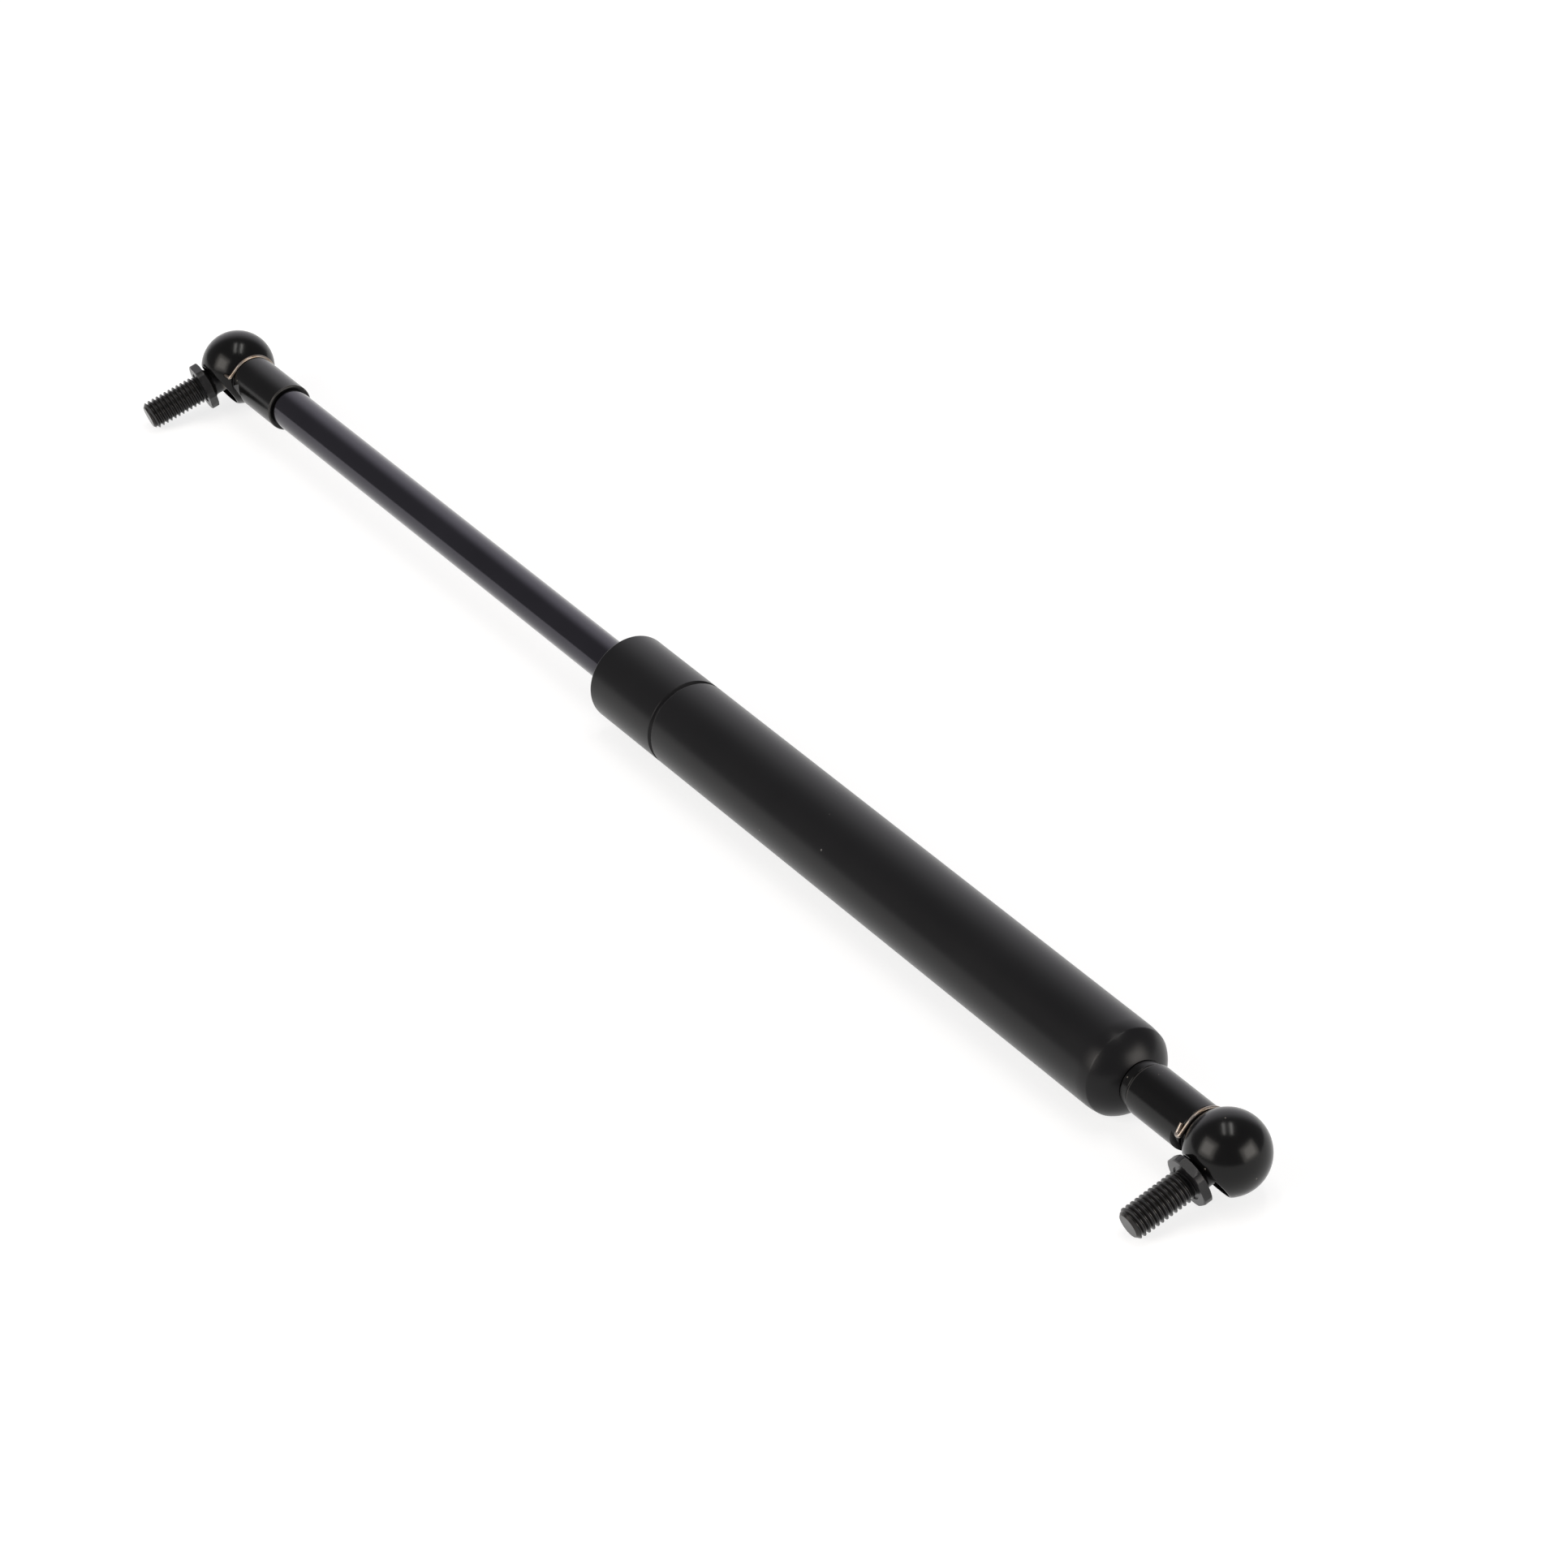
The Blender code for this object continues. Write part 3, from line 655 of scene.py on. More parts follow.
class StageSettings(bpy.types.PropertyGroup):
    lens: FloatProperty(name="Lens", description="Camera's focal length in millimetres",
                        default=135.43, min=1.0, subtype="DISTANCE_CAMERA")
    floor_size: length("Floor", "Side of the square floor", 30.0)
    floor_colour: colour("Floor colour", "Colour of the plain floor", (0.32, 0.32, 0.32))
    floor_glow: FloatProperty(name="Floor glow", description="Light that the floor gives off",
                              default=0.76, min=0.0)


class StaySettings(bpy.types.PropertyGroup):
    strut: PointerProperty(type=StrutSizes)
    joint: PointerProperty(type=JointSizes)
    stud: PointerProperty(type=StudSizes)
    colours: PointerProperty(type=FinishColours)
    stage: PointerProperty(type=StageSettings)


# Pieces


class GASSTRUT_OT_pressure_tube(bpy.types.Operator):
    """Drawn tube with a domed rear, a rolled groove and a turned-in front lip"""

    bl_idname = "gas_strut.pressure_tube"
    bl_label = "Pressure tube"

    SHOULDER_TURN = math.radians(10.0)
    DOME_HALF_TURN = math.radians(19.0)

    def execute(self, context):
        settings = context.scene.gas_strut
        sizes = settings.strut
        front, rear, radius = node_span("pressure_tube")
        bore = radius - sizes.tube_wall
        depth = sizes.groove_depth
        half, floor_half = sizes.groove_width / 2, 0.2 * MM
        groove = sizes.groove_station
        inner_half = half + 0.4 * MM
        # The rolled rear tapers gently up to a crease, and turns in faster behind it
        shoulder_turn, dome_half_turn = self.SHOULDER_TURN, self.DOME_HALF_TURN
        shoulder_start = sizes.crease_station - sizes.shoulder_length
        shoulder_radius = sizes.shoulder_length / math.sin(shoulder_turn)
        shoulder = arc((radius - shoulder_radius, shoulder_start), shoulder_radius,
                       math.degrees(shoulder_turn), 0.0, 16)
        crease = Vector(shoulder[0])
        chord = Vector((sizes.dome_hole, rear)) - crease
        middle_turn = math.atan2(-chord.x, chord.y)
        dome_radius = chord.length / 2 / math.sin(dome_half_turn)
        dome_centre = crease - dome_radius * Vector((
            math.cos(middle_turn - dome_half_turn), math.sin(middle_turn - dome_half_turn)))
        dome = arc(dome_centre, dome_radius, math.degrees(middle_turn + dome_half_turn),
                   math.degrees(middle_turn - dome_half_turn), 32)
        # The inner face is one arc, a wall's thickness inside
        rounding = sizes.dome_rounding
        hole = sizes.dome_hole - bore + rounding
        inner_start = rear - math.sqrt((rounding + sizes.tube_wall) ** 2 - hole ** 2)
        hole_angle = math.degrees(math.acos(hole / rounding))
        inner_dome = arc((bore - rounding, inner_start), rounding, 0.0, hole_angle, 32)

        outside = [
            (radius, shoulder_start - SUPPORT),
            (radius, groove + half, 0.3 * MM),
            (radius - depth, groove + floor_half, 0.15 * MM),
            (radius - depth, groove - floor_half, 0.15 * MM),
            (radius, groove - half, 0.3 * MM),
            (radius, front, sizes.lip_rounding),
            (sizes.lip_hole, front, 0.3 * MM),
        ]
        inside = [
            (sizes.lip_hole, front + sizes.tube_wall, 0.2 * MM),
            (bore, front + sizes.tube_wall, 0.3 * MM),
            (bore, groove - inner_half, 0.4 * MM),
            (bore - depth, groove - floor_half, 0.4 * MM),
            (bore - depth, groove + floor_half, 0.4 * MM),
            (bore, groove + inner_half, 0.4 * MM),
            (bore, inner_start - SUPPORT),
        ]
        section = dome[:-1] + shoulder + rounded(outside + inside, steps=10) + inner_dome
        turned_piece("pressure_tube", section, along_strut(), sizes.facets,
                     black_paint(settings.colours), "cylinder", closed=True)
        return {"FINISHED"}


class GASSTRUT_OT_end_plug(bpy.types.Operator):
    """Welded rear plug: flange in the dome, short stub outside, thread into the socket"""

    bl_idname = "gas_strut.end_plug"
    bl_label = "End plug"

    FLANGE_LENGTH = 2.5 * MM

    def execute(self, context):
        settings = context.scene.gas_strut
        sizes = settings.strut
        flange_front, tip, flange_radius = node_span("end_plug")
        tube_rear = node_span("pressure_tube")[1]
        flange_rear = flange_front + self.FLANGE_LENGTH
        stub_front = tube_rear + sizes.gap
        stub_rear = BALL_SPACING - settings.joint.neck_length - sizes.gap
        section = rounded([
            (0.0, tip),
            (sizes.thread_radius, tip, 0.6 * MM),
            (sizes.thread_radius, stub_rear, 0.2 * MM),
            (sizes.stub_radius, stub_rear, 0.25 * MM),
            (sizes.stub_radius, stub_front, 0.25 * MM),
            (sizes.dome_hole - sizes.gap, stub_front, 0.15 * MM),
            (sizes.dome_hole - sizes.gap, flange_rear, 0.2 * MM),
            (flange_radius, flange_rear, 0.4 * MM),
            (flange_radius, flange_front, 0.4 * MM),
            (0.0, flange_front),
        ])
        turned_piece("end_plug", section, along_strut(), RING_STEPS,
                     joint_black(settings.colours, "plug_black"), "cylinder")
        return {"FINISHED"}


class GASSTRUT_OT_guide_pack(bpy.types.Operator):
    """Wiper, guide bush, rod seal, support washer and stop sleeve in the tube's front"""

    bl_idname = "gas_strut.guide_pack"
    bl_label = "Guide and seal pack"

    def execute(self, context):
        settings = context.scene.gas_strut
        rubber = seal_rubber(settings.colours)
        plastic = guide_plastic(settings.colours)
        bore = settings.strut.ring_bore
        outer = node_span("guide_bush")[2]
        wiper, seal = node_width("wiper_ring"), node_width("rod_seal")
        lip_floor = seal - 1.2 * MM
        turned_ring("wiper_ring", [
            (bore, 0.3 * MM, 0.1 * MM),
            (bore + 0.7 * MM, wiper, 0.2 * MM),
            (outer, wiper, 0.2 * MM),
            (outer, 0.0, 0.2 * MM),
            (bore + 1.6 * MM, 0.0, 0.2 * MM),
            (bore + 1.2 * MM, 0.9 * MM, 0.15 * MM),
            (bore + 0.5 * MM, 0.1 * MM, 0.1 * MM),
        ], rubber, "cylinder")
        turned_ring("guide_bush",
                    plain_ring(bore, outer, node_width("guide_bush"), 0.3 * MM, 0.5 * MM),
                    plastic, "cylinder")
        turned_ring("rod_seal", [
            (bore, seal, 0.15 * MM),
            (bore + 0.9 * MM, seal, 0.3 * MM),
            (bore + 1.7 * MM, lip_floor, 0.3 * MM),
            (outer - 1.4 * MM, lip_floor, 0.3 * MM),
            (outer - 0.8 * MM, seal, 0.3 * MM),
            (outer, seal, 0.15 * MM),
            (outer, 0.0, 0.3 * MM),
            (bore, 0.0, 0.3 * MM),
        ], rubber, "cylinder")
        washer = node_width("seal_support_washer")
        turned_ring("seal_support_washer",
                    plain_ring(bore, outer, washer, 0.15 * MM, 0.2 * MM),
                    turned_steel(settings.colours), "cylinder")
        sleeve = node_width("stop_sleeve")
        turned_ring("stop_sleeve",
                    plain_ring(settings.strut.sleeve_bore, outer, sleeve, 0.2 * MM, 0.3 * MM),
                    plastic, "cylinder")
        return {"FINISHED"}


class GASSTRUT_OT_piston_rod(bpy.types.Operator):
    """Nitrided rod with a threaded front end and a riveted spigot for the piston"""

    bl_idname = "gas_strut.piston_rod"
    bl_label = "Piston rod"

    def execute(self, context):
        settings = context.scene.gas_strut
        sizes = settings.strut
        tip, rivet_rear, radius = node_span("piston_rod")
        shank_front = settings.joint.neck_length + sizes.gap
        shoulder = node_span("piston_front_washer")[0] - sizes.gap
        rivet_front = node_span("piston_rear_washer")[1] + sizes.gap
        spigot, rivet = sizes.spigot_radius, 4.2 * MM
        section = rounded([
            (0.0, rivet_rear),
            (rivet, rivet_rear, 0.9 * MM),
            (rivet, rivet_front, 0.2 * MM),
            (spigot, rivet_front, 0.1 * MM),
            (spigot, shoulder, 0.1 * MM),
            (radius, shoulder, 0.3 * MM),
            (radius, shank_front, 0.45 * MM),
            (sizes.thread_radius, shank_front, 0.2 * MM),
            (sizes.thread_radius, tip, 0.6 * MM),
            (0.0, tip),
        ])
        turned_piece("piston_rod", section, along_strut(), ROUND_STEPS,
                     hard_rod(settings.colours), "rod")
        return {"FINISHED"}


class GASSTRUT_OT_piston_stack(bpy.types.Operator):
    """Grooved piston with its loose ring between two washers"""

    bl_idname = "gas_strut.piston_stack"
    bl_label = "Piston stack"

    GROOVE_FLOOR = 8.1 * MM

    def execute(self, context):
        settings = context.scene.gas_strut
        steel = turned_steel(settings.colours)
        gap = settings.strut.gap
        hole = settings.strut.spigot_radius + gap
        start, end, radius = node_span("piston")
        ring_start, ring_end, ring_radius = node_span("piston_ring")
        low, high = ring_start - start - gap, ring_end - start + gap
        turned_ring("piston", [
            (hole, end - start, 0.2 * MM),
            (radius, end - start, 0.5 * MM),
            (radius, high, 0.15 * MM),
            (self.GROOVE_FLOOR, high, 0.15 * MM),
            (self.GROOVE_FLOOR, low, 0.15 * MM),
            (radius, low, 0.15 * MM),
            (radius, 0.0, 0.5 * MM),
            (hole, 0.0, 0.2 * MM),
        ], steel, "rod")
        for node in ("piston_front_washer", "piston_rear_washer"):
            washer = plain_ring(hole, node_span(node)[2], node_width(node), 0.1 * MM, 0.25 * MM)
            turned_ring(node, washer, steel, "rod")
        ring = plain_ring(self.GROOVE_FLOOR + gap, ring_radius, ring_end - ring_start,
                          0.15 * MM, 0.25 * MM)
        turned_ring("piston_ring", ring, guide_plastic(settings.colours), "piston_ring_body")
        return {"FINISHED"}


class GASSTRUT_OT_ball_sockets(bpy.types.Operator):
    """Ball sockets: turned head and neck, hollowed from the mouth, drilled for the clip's pin"""

    bl_idname = "gas_strut.ball_sockets"
    bl_label = "Ball sockets"

    BORE_DEPTHS = (13.5 * MM, 15.0 * MM)
    CLIP_GROOVE_HALF, CLIP_GROOVE_FLOOR = 0.75 * MM, 5.75 * MM
    SNAP_GROOVE_SPAN, SNAP_GROOVE_FLOOR = (2.6 * MM, 4.2 * MM), 7.35 * MM
    DRILL_RADIUS, DRILL_SPAN = 0.6 * MM, (2.0 * MM, 12.0 * MM)

    def body_section(self, sizes, bore_radius):
        """Head and neck in one, with the threaded bore and the clip's groove."""
        high = sizes.clip_station + self.CLIP_GROOVE_HALF
        low = sizes.clip_station - self.CLIP_GROOVE_HALF
        head = sizes.head_radius
        start = math.degrees(math.asin(low / head))
        head_edge = head * math.cos(math.radians(start))
        drill_point, bore_floor = self.BORE_DEPTHS
        corners = [
            (0.0, drill_point),
            (bore_radius, bore_floor),
            (bore_radius, sizes.neck_length, 0.4 * MM),
            (sizes.neck_radius, sizes.neck_length, 0.45 * MM),
            (sizes.neck_radius, high, 0.25 * MM),
            (self.CLIP_GROOVE_FLOOR, high, 0.2 * MM),
            (self.CLIP_GROOVE_FLOOR, low, 0.2 * MM),
            (head_edge - 0.12 * MM, low),
        ]
        return rounded(corners) + round_bottom(head, start - 1.0, 48)

    def hollow_section(self, sizes):
        """Everything past the mouth's flat, the seat, the snap ring's groove and a lead-in."""
        above = sizes.head_radius + 3.0 * MM
        cavity, mouth, head = sizes.cavity_radius, sizes.mouth_height, sizes.head_radius
        edge = math.sqrt(head ** 2 - mouth ** 2)
        low, high = self.SNAP_GROOVE_SPAN
        corners = [
            (0.0, above),
            (above, above),
            (above, mouth - 2.5 * MM),
            (edge + 1.0 * MM, mouth - 0.9 * MM),
            (edge - 0.06 * MM, mouth, 0.25 * MM),
            (cavity, mouth, 0.04 * MM),
            (cavity, high, 0.08 * MM),
            (self.SNAP_GROOVE_FLOOR, high, 0.2 * MM),
            (self.SNAP_GROOVE_FLOOR, low, 0.2 * MM),
            (cavity, low, 0.08 * MM),
            (cavity, 0.0),
        ]
        return rounded(corners) + round_bottom(cavity, -4.0, 22)

    def execute(self, context):
        settings = context.scene.gas_strut
        sizes = settings.joint
        bore_radius = settings.strut.thread_radius + settings.strut.gap
        near, far = self.DRILL_SPAN
        for end in ENDS:
            node = end.name + "_socket"
            body = turned(self.body_section(sizes, bore_radius), ROUND_STEPS)
            socket = made_object(node + "_finished", body, end.along_neck())
            hollow = turned(self.hollow_section(sizes), ROUND_STEPS)
            combine(socket, made_object("hollow", hollow, end.in_socket()), "DIFFERENCE")
            drill = turned([(0.0, far), (self.DRILL_RADIUS, far), (self.DRILL_RADIUS, near),
                            (0.0, near)], 24)
            beside = end.in_socket() @ Vector((0.0, sizes.pin_side, sizes.pin_height))
            along = standing(beside, end.neck, -end.mouth)
            combine(socket, made_object("drill", drill, along), "DIFFERENCE")
            finish = joint_black(settings.colours, node + "_black", end, sizes)
            finish_piece(socket, finish, end.body, node)
        return {"FINISHED"}


class GASSTRUT_OT_wires(bpy.types.Operator):
    """Safety clips with their locking pins and folded handles, and the snap rings"""

    bl_idname = "gas_strut.wires"
    bl_label = "Clips and snap rings"

    PIN_END, ELBOW, RETURN_LEG = 3.3 * MM, 0.75 * MM, 1.8 * MM
    SNAP_RADIUS, SNAP_HEIGHT, SNAP_OPENING = 6.35 * MM, 3.4 * MM, math.radians(24.0)

    def clip(self, sizes):
        along = Vector((1.0, 0.0, 0.0))
        ring = sizes.clip_radius

        def leg(side, height):
            """Angle where a straight leg leaves the ring, and its length to (side, height)."""
            reach = math.hypot(side, height)
            return math.atan2(height, side) - math.acos(ring / reach), math.sqrt(
                reach ** 2 - ring ** 2)

        pin_turn, pin_leg = leg(sizes.pin_side, sizes.pin_height)
        handle_turn, handle_leg = leg(sizes.handle_side, sizes.handle_height)
        down = Vector((0.0, math.sin(pin_turn), -math.cos(pin_turn)))
        start = (self.PIN_END, sizes.pin_side, sizes.pin_height)
        clip = BentWire(sizes.wire_radius, start, along)
        clip.feed(sizes.clip_station - self.ELBOW - self.PIN_END)
        clip.bend(down, self.ELBOW, math.radians(90.0), 10)
        clip.feed(pin_leg - self.ELBOW)
        inward = Vector((0.0, -math.cos(pin_turn), -math.sin(pin_turn)))
        clip.bend(inward, ring, math.pi + pin_turn + handle_turn, 60)
        clip.feed(handle_leg - sizes.fold_radius)
        clip.bend(along, sizes.fold_radius, math.pi, 16)
        clip.bend(Vector((0.0, -1.0, 0.0)), 2.0 * MM, math.radians(14.5), 4)
        clip.feed(self.RETURN_LEG)
        return clip.cut()

    def snap_ring(self, sizes):
        half_opening = Matrix.Rotation(self.SNAP_OPENING / 2, 3, "Z")
        start = half_opening @ Vector((self.SNAP_RADIUS, 0.0, 0.0))
        direction = half_opening @ Vector((0.0, 1.0, 0.0))
        height = Vector((0.0, 0.0, self.SNAP_HEIGHT))
        ring = BentWire(sizes.wire_radius, start + height, direction)
        ring.bend(-start, self.SNAP_RADIUS, FULL_TURN - self.SNAP_OPENING, RING_STEPS)
        return ring.cut()

    def execute(self, context):
        settings = context.scene.gas_strut
        wire = drawn_wire(settings.colours)
        for end in ENDS:
            for node, make, body in ((end.name + "_clip", self.clip, end.body),
                                     (end.name + "_snap_ring", self.snap_ring,
                                      end.name + "_ring")):
                bent = made_object(node + "_finished", make(settings.joint), end.in_socket())
                finish_piece(bent, wire, body, node)
        return {"FINISHED"}


class GASSTRUT_OT_ball_studs(bpy.types.Operator):
    """Ball studs: ball, waisted neck, hexagon collar and a rolled right-hand thread"""

    bl_idname = "gas_strut.ball_studs"
    bl_label = "Ball studs"

    HEX_ROLL_DEG = {"rod_end": 4.5, "cylinder_end": 39.0}

    WAIST_START = 4.35 * MM
    SHOULDER_DEG = 22.0
    HELIX_STEPS = 64
    HIDDEN_TURNS = 2.4

    def collar(self, sizes, roll_deg):
        """Hexagon with softened corners, and the barrel that turns its corners down."""
        end, start = sizes.collar_end, sizes.collar_end - sizes.collar_length
        twelfth = math.radians(30.0)
        across_corners = sizes.collar_flats / 2 / math.cos(twelfth)
        prism = bmesh.new()
        # create_cone starts its first corner on +Y, a twelfth of a turn from a corner on +X
        place = (Matrix.Translation((0.0, 0.0, (start + end) / 2))
                 @ Matrix.Rotation(math.radians(roll_deg), 4, "Z")
                 @ Matrix.Rotation(twelfth, 4, "Z"))
        bmesh.ops.create_cone(prism, cap_ends=True, segments=6, radius1=across_corners,
                              radius2=across_corners, depth=8.0 * MM, matrix=place)
        upright = [edge for edge in prism.edges
                   if abs(edge.verts[0].co.z - edge.verts[1].co.z) > MM]
        soften(prism, upright, 0.08 * MM)
        chamfer = sizes.collar_radius - sizes.collar_flats / 2 - 0.05 * MM
        drop = chamfer * math.tan(math.radians(self.SHOULDER_DEG))
        edge = sizes.collar_radius - chamfer
        barrel = rounded([
            (0.0, end - sizes.relief_depth),
            (sizes.relief_radius, end - sizes.relief_depth, 0.1 * MM),
            (sizes.relief_radius, end, 0.08 * MM),
            (edge, end, 0.07 * MM),
            (sizes.collar_radius, end - drop, 0.07 * MM),
            (sizes.collar_radius, start + drop, 0.07 * MM),
            (edge, start, 0.07 * MM),
            (0.0, start),
        ])
        return turned(barrel, RING_STEPS), prism

    def body(self, sizes):
        """Ball, waist and core, up to just inside the thread."""
        ball, waist = sizes.ball_radius, sizes.neck_radius
        core, core_end = sizes.root_radius - 0.4 * MM, sizes.collar_end + 1.2 * MM
        inside_collar = sizes.collar_end - 0.8 * MM
        neck_top = math.degrees(math.acos(self.WAIST_START / ball))
        start = ball * math.sin(math.radians(neck_top))
        collar_start = sizes.collar_end - sizes.collar_length
        corners = [
            (0.0, core_end),
            (core, core_end),
            (core, inside_collar),
            (waist + 1.2 * MM, inside_collar),
            (waist + 1.2 * MM, collar_start - 0.15 * MM),
            (waist, collar_start - 0.7 * MM, 1.0 * MM),
            (waist, start + 0.55 * MM, 1.2 * MM),
            (self.WAIST_START, start),
        ]
        return rounded(corners) + round_bottom(ball, neck_top - 3.0, 40)

    def thread(self, sizes):
        """One pitch of the rolled profile spun up a right-hand helix and squared off."""
        pitch, root, crest = sizes.pitch, sizes.root_radius, sizes.crest_radius
        profile = rounded([
            (root, 0.0),
            (root, pitch / 10, 0.09 * MM),
            (crest, pitch * 0.44, 0.07 * MM),
            (crest, pitch * 0.56, 0.07 * MM),
            (root, pitch * 0.9, 0.09 * MM),
            (root, pitch),
        ], steps=2)
        start = sizes.collar_end - self.HIDDEN_TURNS * pitch
        turns = math.ceil((sizes.stud_length - start) / pitch) + 2
        shape = bmesh.new()
        verts = [shape.verts.new((r, 0.0, start + z)) for r, z in profile]
        edges = [shape.edges.new(pair) for pair in zip(verts, verts[1:])]
        bmesh.ops.spin(shape, geom=verts + edges, cent=(0.0, 0.0, 0.0), axis=(0.0, 0.0, 1.0),
                       dvec=(0.0, 0.0, pitch / self.HELIX_STEPS), angle=FULL_TURN * turns,
                       steps=self.HELIX_STEPS * turns)
        bmesh.ops.remove_doubles(shape, verts=shape.verts, dist=2 * MERGE_DISTANCE)
        for height, up in ((sizes.collar_end - 0.5 * MM, -1.0), (sizes.stud_length + MM, 1.0)):
            geometry = list(shape.verts) + list(shape.edges) + list(shape.faces)
            bmesh.ops.bisect_plane(shape, geom=geometry, dist=0.0000001,
                                   plane_co=(0.0, 0.0, height), plane_no=(0.0, 0.0, up),
                                   clear_outer=True)
            rim = [edge for edge in shape.edges if edge.is_boundary
                   and all(abs(v.co.z - height) < 0.00001 for v in edge.verts)]
            bmesh.ops.edgeloop_fill(shape, edges=rim)
        bmesh.ops.recalc_face_normals(shape, faces=shape.faces)
        return shape

    def envelope(self, sizes):
        """What the thread is kept inside: run-out at the collar and chamfer at the tip."""
        reach, runout = sizes.crest_radius + 0.3 * MM, sizes.root_radius + 0.12 * MM
        tip, collar = sizes.stud_length, sizes.collar_end
        return rounded([
            (0.0, tip),
            (sizes.crest_radius - sizes.tip_chamfer, tip, 0.15 * MM),
            (reach, tip - sizes.tip_chamfer - 0.3 * MM),
            (reach, collar + 1.6 * MM),
            (runout, collar + 0.55 * MM, 0.3 * MM),
            (runout, collar - MM),
            (0.0, collar - MM),
        ])

    def execute(self, context):
        settings = context.scene.gas_strut
        sizes = settings.stud
        still = Matrix.Identity(4)
        for end in ENDS:
            node = end.name + "_ball_stud"
            shank = made_object("shank", self.thread(sizes), still)
            kept = made_object("kept", turned(self.envelope(sizes), 64), still)
            combine(shank, kept, "INTERSECT")
            barrel, prism = self.collar(sizes, self.HEX_ROLL_DEG[end.name])
            collar = made_object("collar", barrel, still)
            combine(collar, made_object("prism", prism, still), "INTERSECT")
            body = turned(self.body(sizes), RING_STEPS)
            stud = made_object(node + "_finished", body, still)
            combine(stud, collar, "UNION")
            combine(stud, shank, "UNION")
            stud.data.transform(end.along_stud())
            finish_piece(stud, stud_black(settings.colours, end), end.name + "_stud", node)
        return {"FINISHED"}


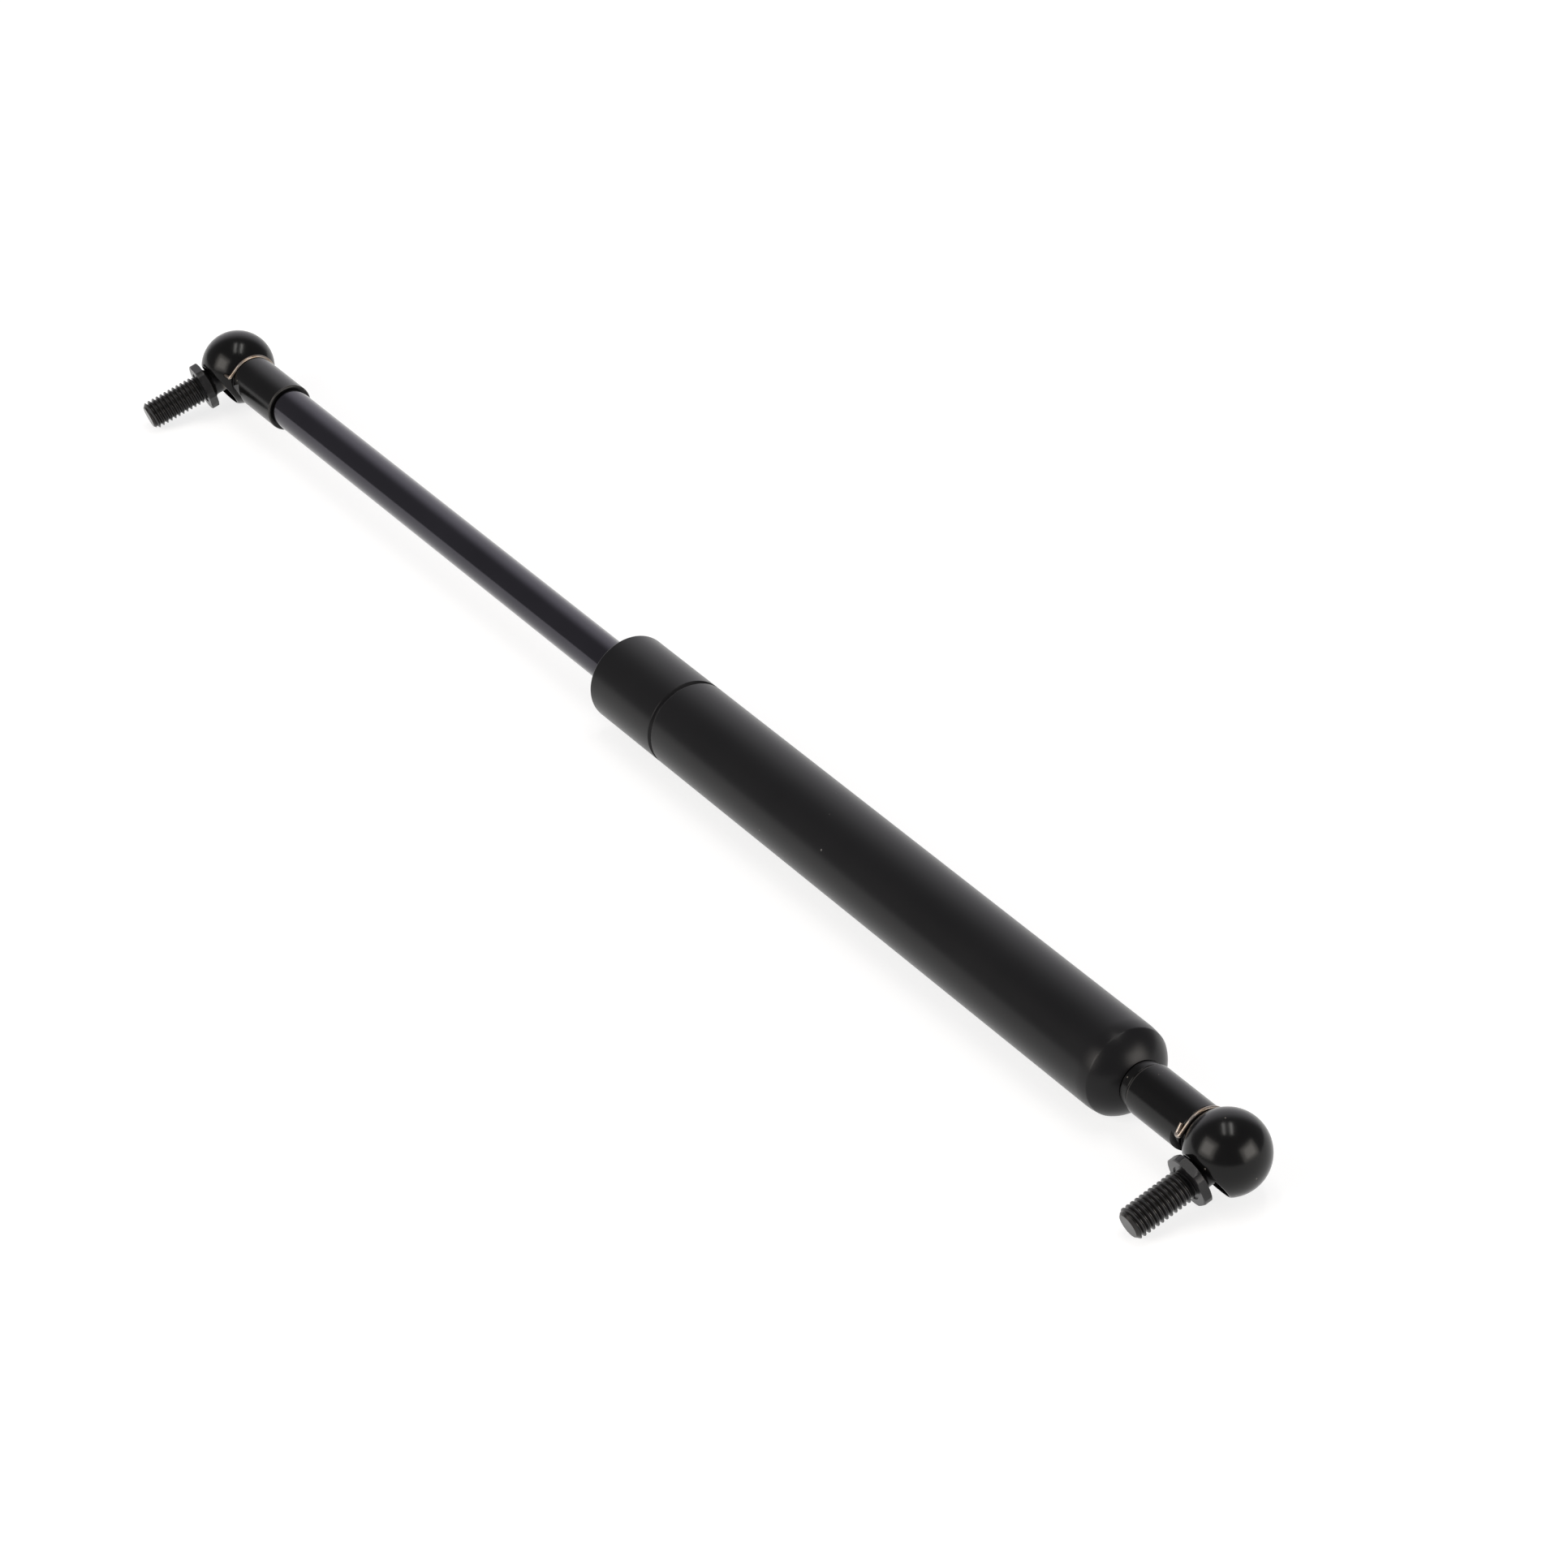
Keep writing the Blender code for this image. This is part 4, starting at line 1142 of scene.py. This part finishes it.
class GASSTRUT_OT_stage(bpy.types.Operator):
    """Plain pale floor, soft studio light and the camera"""

    bl_idname = "gas_strut.stage"
    bl_label = "Floor, lights and camera"

    CAMERA_PLACE = (1.06578, -0.60605, 0.78000)
    CAMERA_TURN_DEG = (57.2219, 2.9692, 56.9640)
    SENSOR_WIDTH = 36.0
    FLOOR_DROP = 0.02 * MM
    # The backdrop's bright side, the band of its edge, its glow, the room's glow and their tint
    BACKDROP_SIDE = (-0.856, 0.517, 0.0)
    BACKDROP_EDGE = (0.58, 0.88)
    BACKDROP_GLOW, ROOM_GLOW = 0.90, 0.25
    ROOM_TINT = (0.975, 0.955, 1.0, 1.0)
    WARM = (1.0, 0.95, 0.89)
    NEUTRAL = (1.0, 0.98, 0.95)
    # name, place, way its length runs, length, width, radiance, colour
    LIGHTS = (
        ("left_softbox", (-0.13, -1.87, 1.05), (1.0, 0.1, 0.0), 1.80, 1.70, 2.2, WARM),
        ("left_softbox_core", (-0.13, -1.85, 1.04), (1.0, 0.1, 0.0), 1.10, 1.00, 3.0, WARM),
        ("right_softbox", (2.06, 0.97, 0.78), (-0.43, 0.90, 0.0), 1.95, 1.50, 2.2, WARM),
        ("right_softbox_core", (2.04, 0.96, 0.77), (-0.43, 0.90, 0.0), 1.15, 0.90, 3.2, WARM),
        ("overhead_strip_a", (-0.29, -0.04, 2.40), (-0.82, 0.57, 0.0), 1.50, 0.20, 8.0, NEUTRAL),
        ("overhead_strip_b", (0.11, 0.52, 2.40), (-0.85, 0.53, 0.0), 1.50, 0.20, 10.0, NEUTRAL),
    )

    def add_floor(self, settings):
        shape = bmesh.new()
        half = settings.floor_size / 2
        bmesh.ops.create_grid(shape, x_segments=1, y_segments=1, size=half)
        place = Matrix.Translation((0.0, 0.0, -self.FLOOR_DROP))
        floor = made_object("floor", shape, place)
        finish = Finish("floor_pale", settings.floor_colour, 0.0, 0.9, 0.2)
        finish.set({"Emission Color": (1.0, 1.0, 1.0, 1.0),
                    "Emission Strength": settings.floor_glow})
        floor.data.materials.append(finish.material)

    def add_lights(self, scene):
        for name, place, long_way, length_m, width_m, radiance, tint in self.LIGHTS:
            lamp = bpy.data.lights.new(name, "AREA")
            lamp.shape = "RECTANGLE"
            lamp.size, lamp.size_y = length_m, width_m
            lamp.energy = math.pi * length_m * width_m * radiance
            lamp.color = tint
            obj = bpy.data.objects.new(name, lamp)
            obj.matrix_world = standing(Vector(place), Vector(place), Vector(long_way))
            scene.collection.objects.link(obj)

    def add_world(self, scene):
        world = bpy.data.worlds.new("studio")
        world.use_nodes = True
        sky = Graph(world.node_tree)
        way = sky.node("ShaderNodeTexCoord", {}, {}, output="Generated")
        backdrop = sky.along(way, self.BACKDROP_SIDE).band(*self.BACKDROP_EDGE)
        studio = backdrop * self.BACKDROP_GLOW + self.ROOM_GLOW
        # The camera sees plain white behind the floor, and the pieces mirror the studio
        seen = sky.node("ShaderNodeLightPath", {}, {}, output="Is Camera Ray")
        shell = sky.tree.nodes["Background"]
        shell.inputs["Color"].default_value = self.ROOM_TINT
        sky.tree.links.new((seen + studio * (1.0 - seen)).socket, shell.inputs["Strength"])
        scene.world = world

    def add_camera(self, scene, settings):
        camera = bpy.data.cameras.new("camera")
        camera.lens = settings.lens
        camera.sensor_width = self.SENSOR_WIDTH
        camera.clip_start, camera.clip_end = 0.01, 100.0
        obj = bpy.data.objects.new("camera", camera)
        obj.location = self.CAMERA_PLACE
        obj.rotation_euler = [math.radians(angle) for angle in self.CAMERA_TURN_DEG]
        scene.collection.objects.link(obj)
        scene.camera = obj

    def execute(self, context):
        scene = context.scene
        settings = scene.gas_strut.stage
        self.add_floor(settings)
        self.add_lights(scene)
        self.add_world(scene)
        self.add_camera(scene, settings)
        scene.view_settings.view_transform = "Standard"
        return {"FINISHED"}


class GASSTRUT_PT_build(bpy.types.Panel):
    """Sizes, colours and build steps of the gas strut stay"""

    bl_idname = "GASSTRUT_PT_build"
    bl_label = "Gas Strut Stay"
    bl_space_type = "VIEW_3D"
    bl_region_type = "UI"
    bl_category = "Gas Strut"

    def draw(self, context):
        layout = self.layout
        settings = context.scene.gas_strut
        for title, group in (("Strut", settings.strut), ("Ball joint", settings.joint),
                             ("Ball stud", settings.stud), ("Colours", settings.colours),
                             ("Stage", settings.stage)):
            box = layout.box()
            box.label(text=title)
            for name in group.__annotations__:
                box.prop(group, name)
        for operator in OPERATORS:
            layout.operator(operator.bl_idname)


OPERATORS = (
    GASSTRUT_OT_pressure_tube,
    GASSTRUT_OT_end_plug,
    GASSTRUT_OT_guide_pack,
    GASSTRUT_OT_piston_rod,
    GASSTRUT_OT_piston_stack,
    GASSTRUT_OT_ball_sockets,
    GASSTRUT_OT_wires,
    GASSTRUT_OT_ball_studs,
    GASSTRUT_OT_stage,
)
GROUPS = (StrutSizes, JointSizes, StudSizes, FinishColours, StageSettings, StaySettings)
CLASSES = GROUPS + OPERATORS + (GASSTRUT_PT_build,)


def register():
    for cls in CLASSES:
        bpy.utils.register_class(cls)
    bpy.types.Scene.gas_strut = PointerProperty(type=StaySettings)


def unregister():
    del bpy.types.Scene.gas_strut
    for cls in reversed(CLASSES):
        bpy.utils.unregister_class(cls)


def main():
    register()
    for operator in OPERATORS:
        group, name = operator.bl_idname.split(".")
        getattr(getattr(bpy.ops, group), name)()


if __name__ == "__main__":
    main()
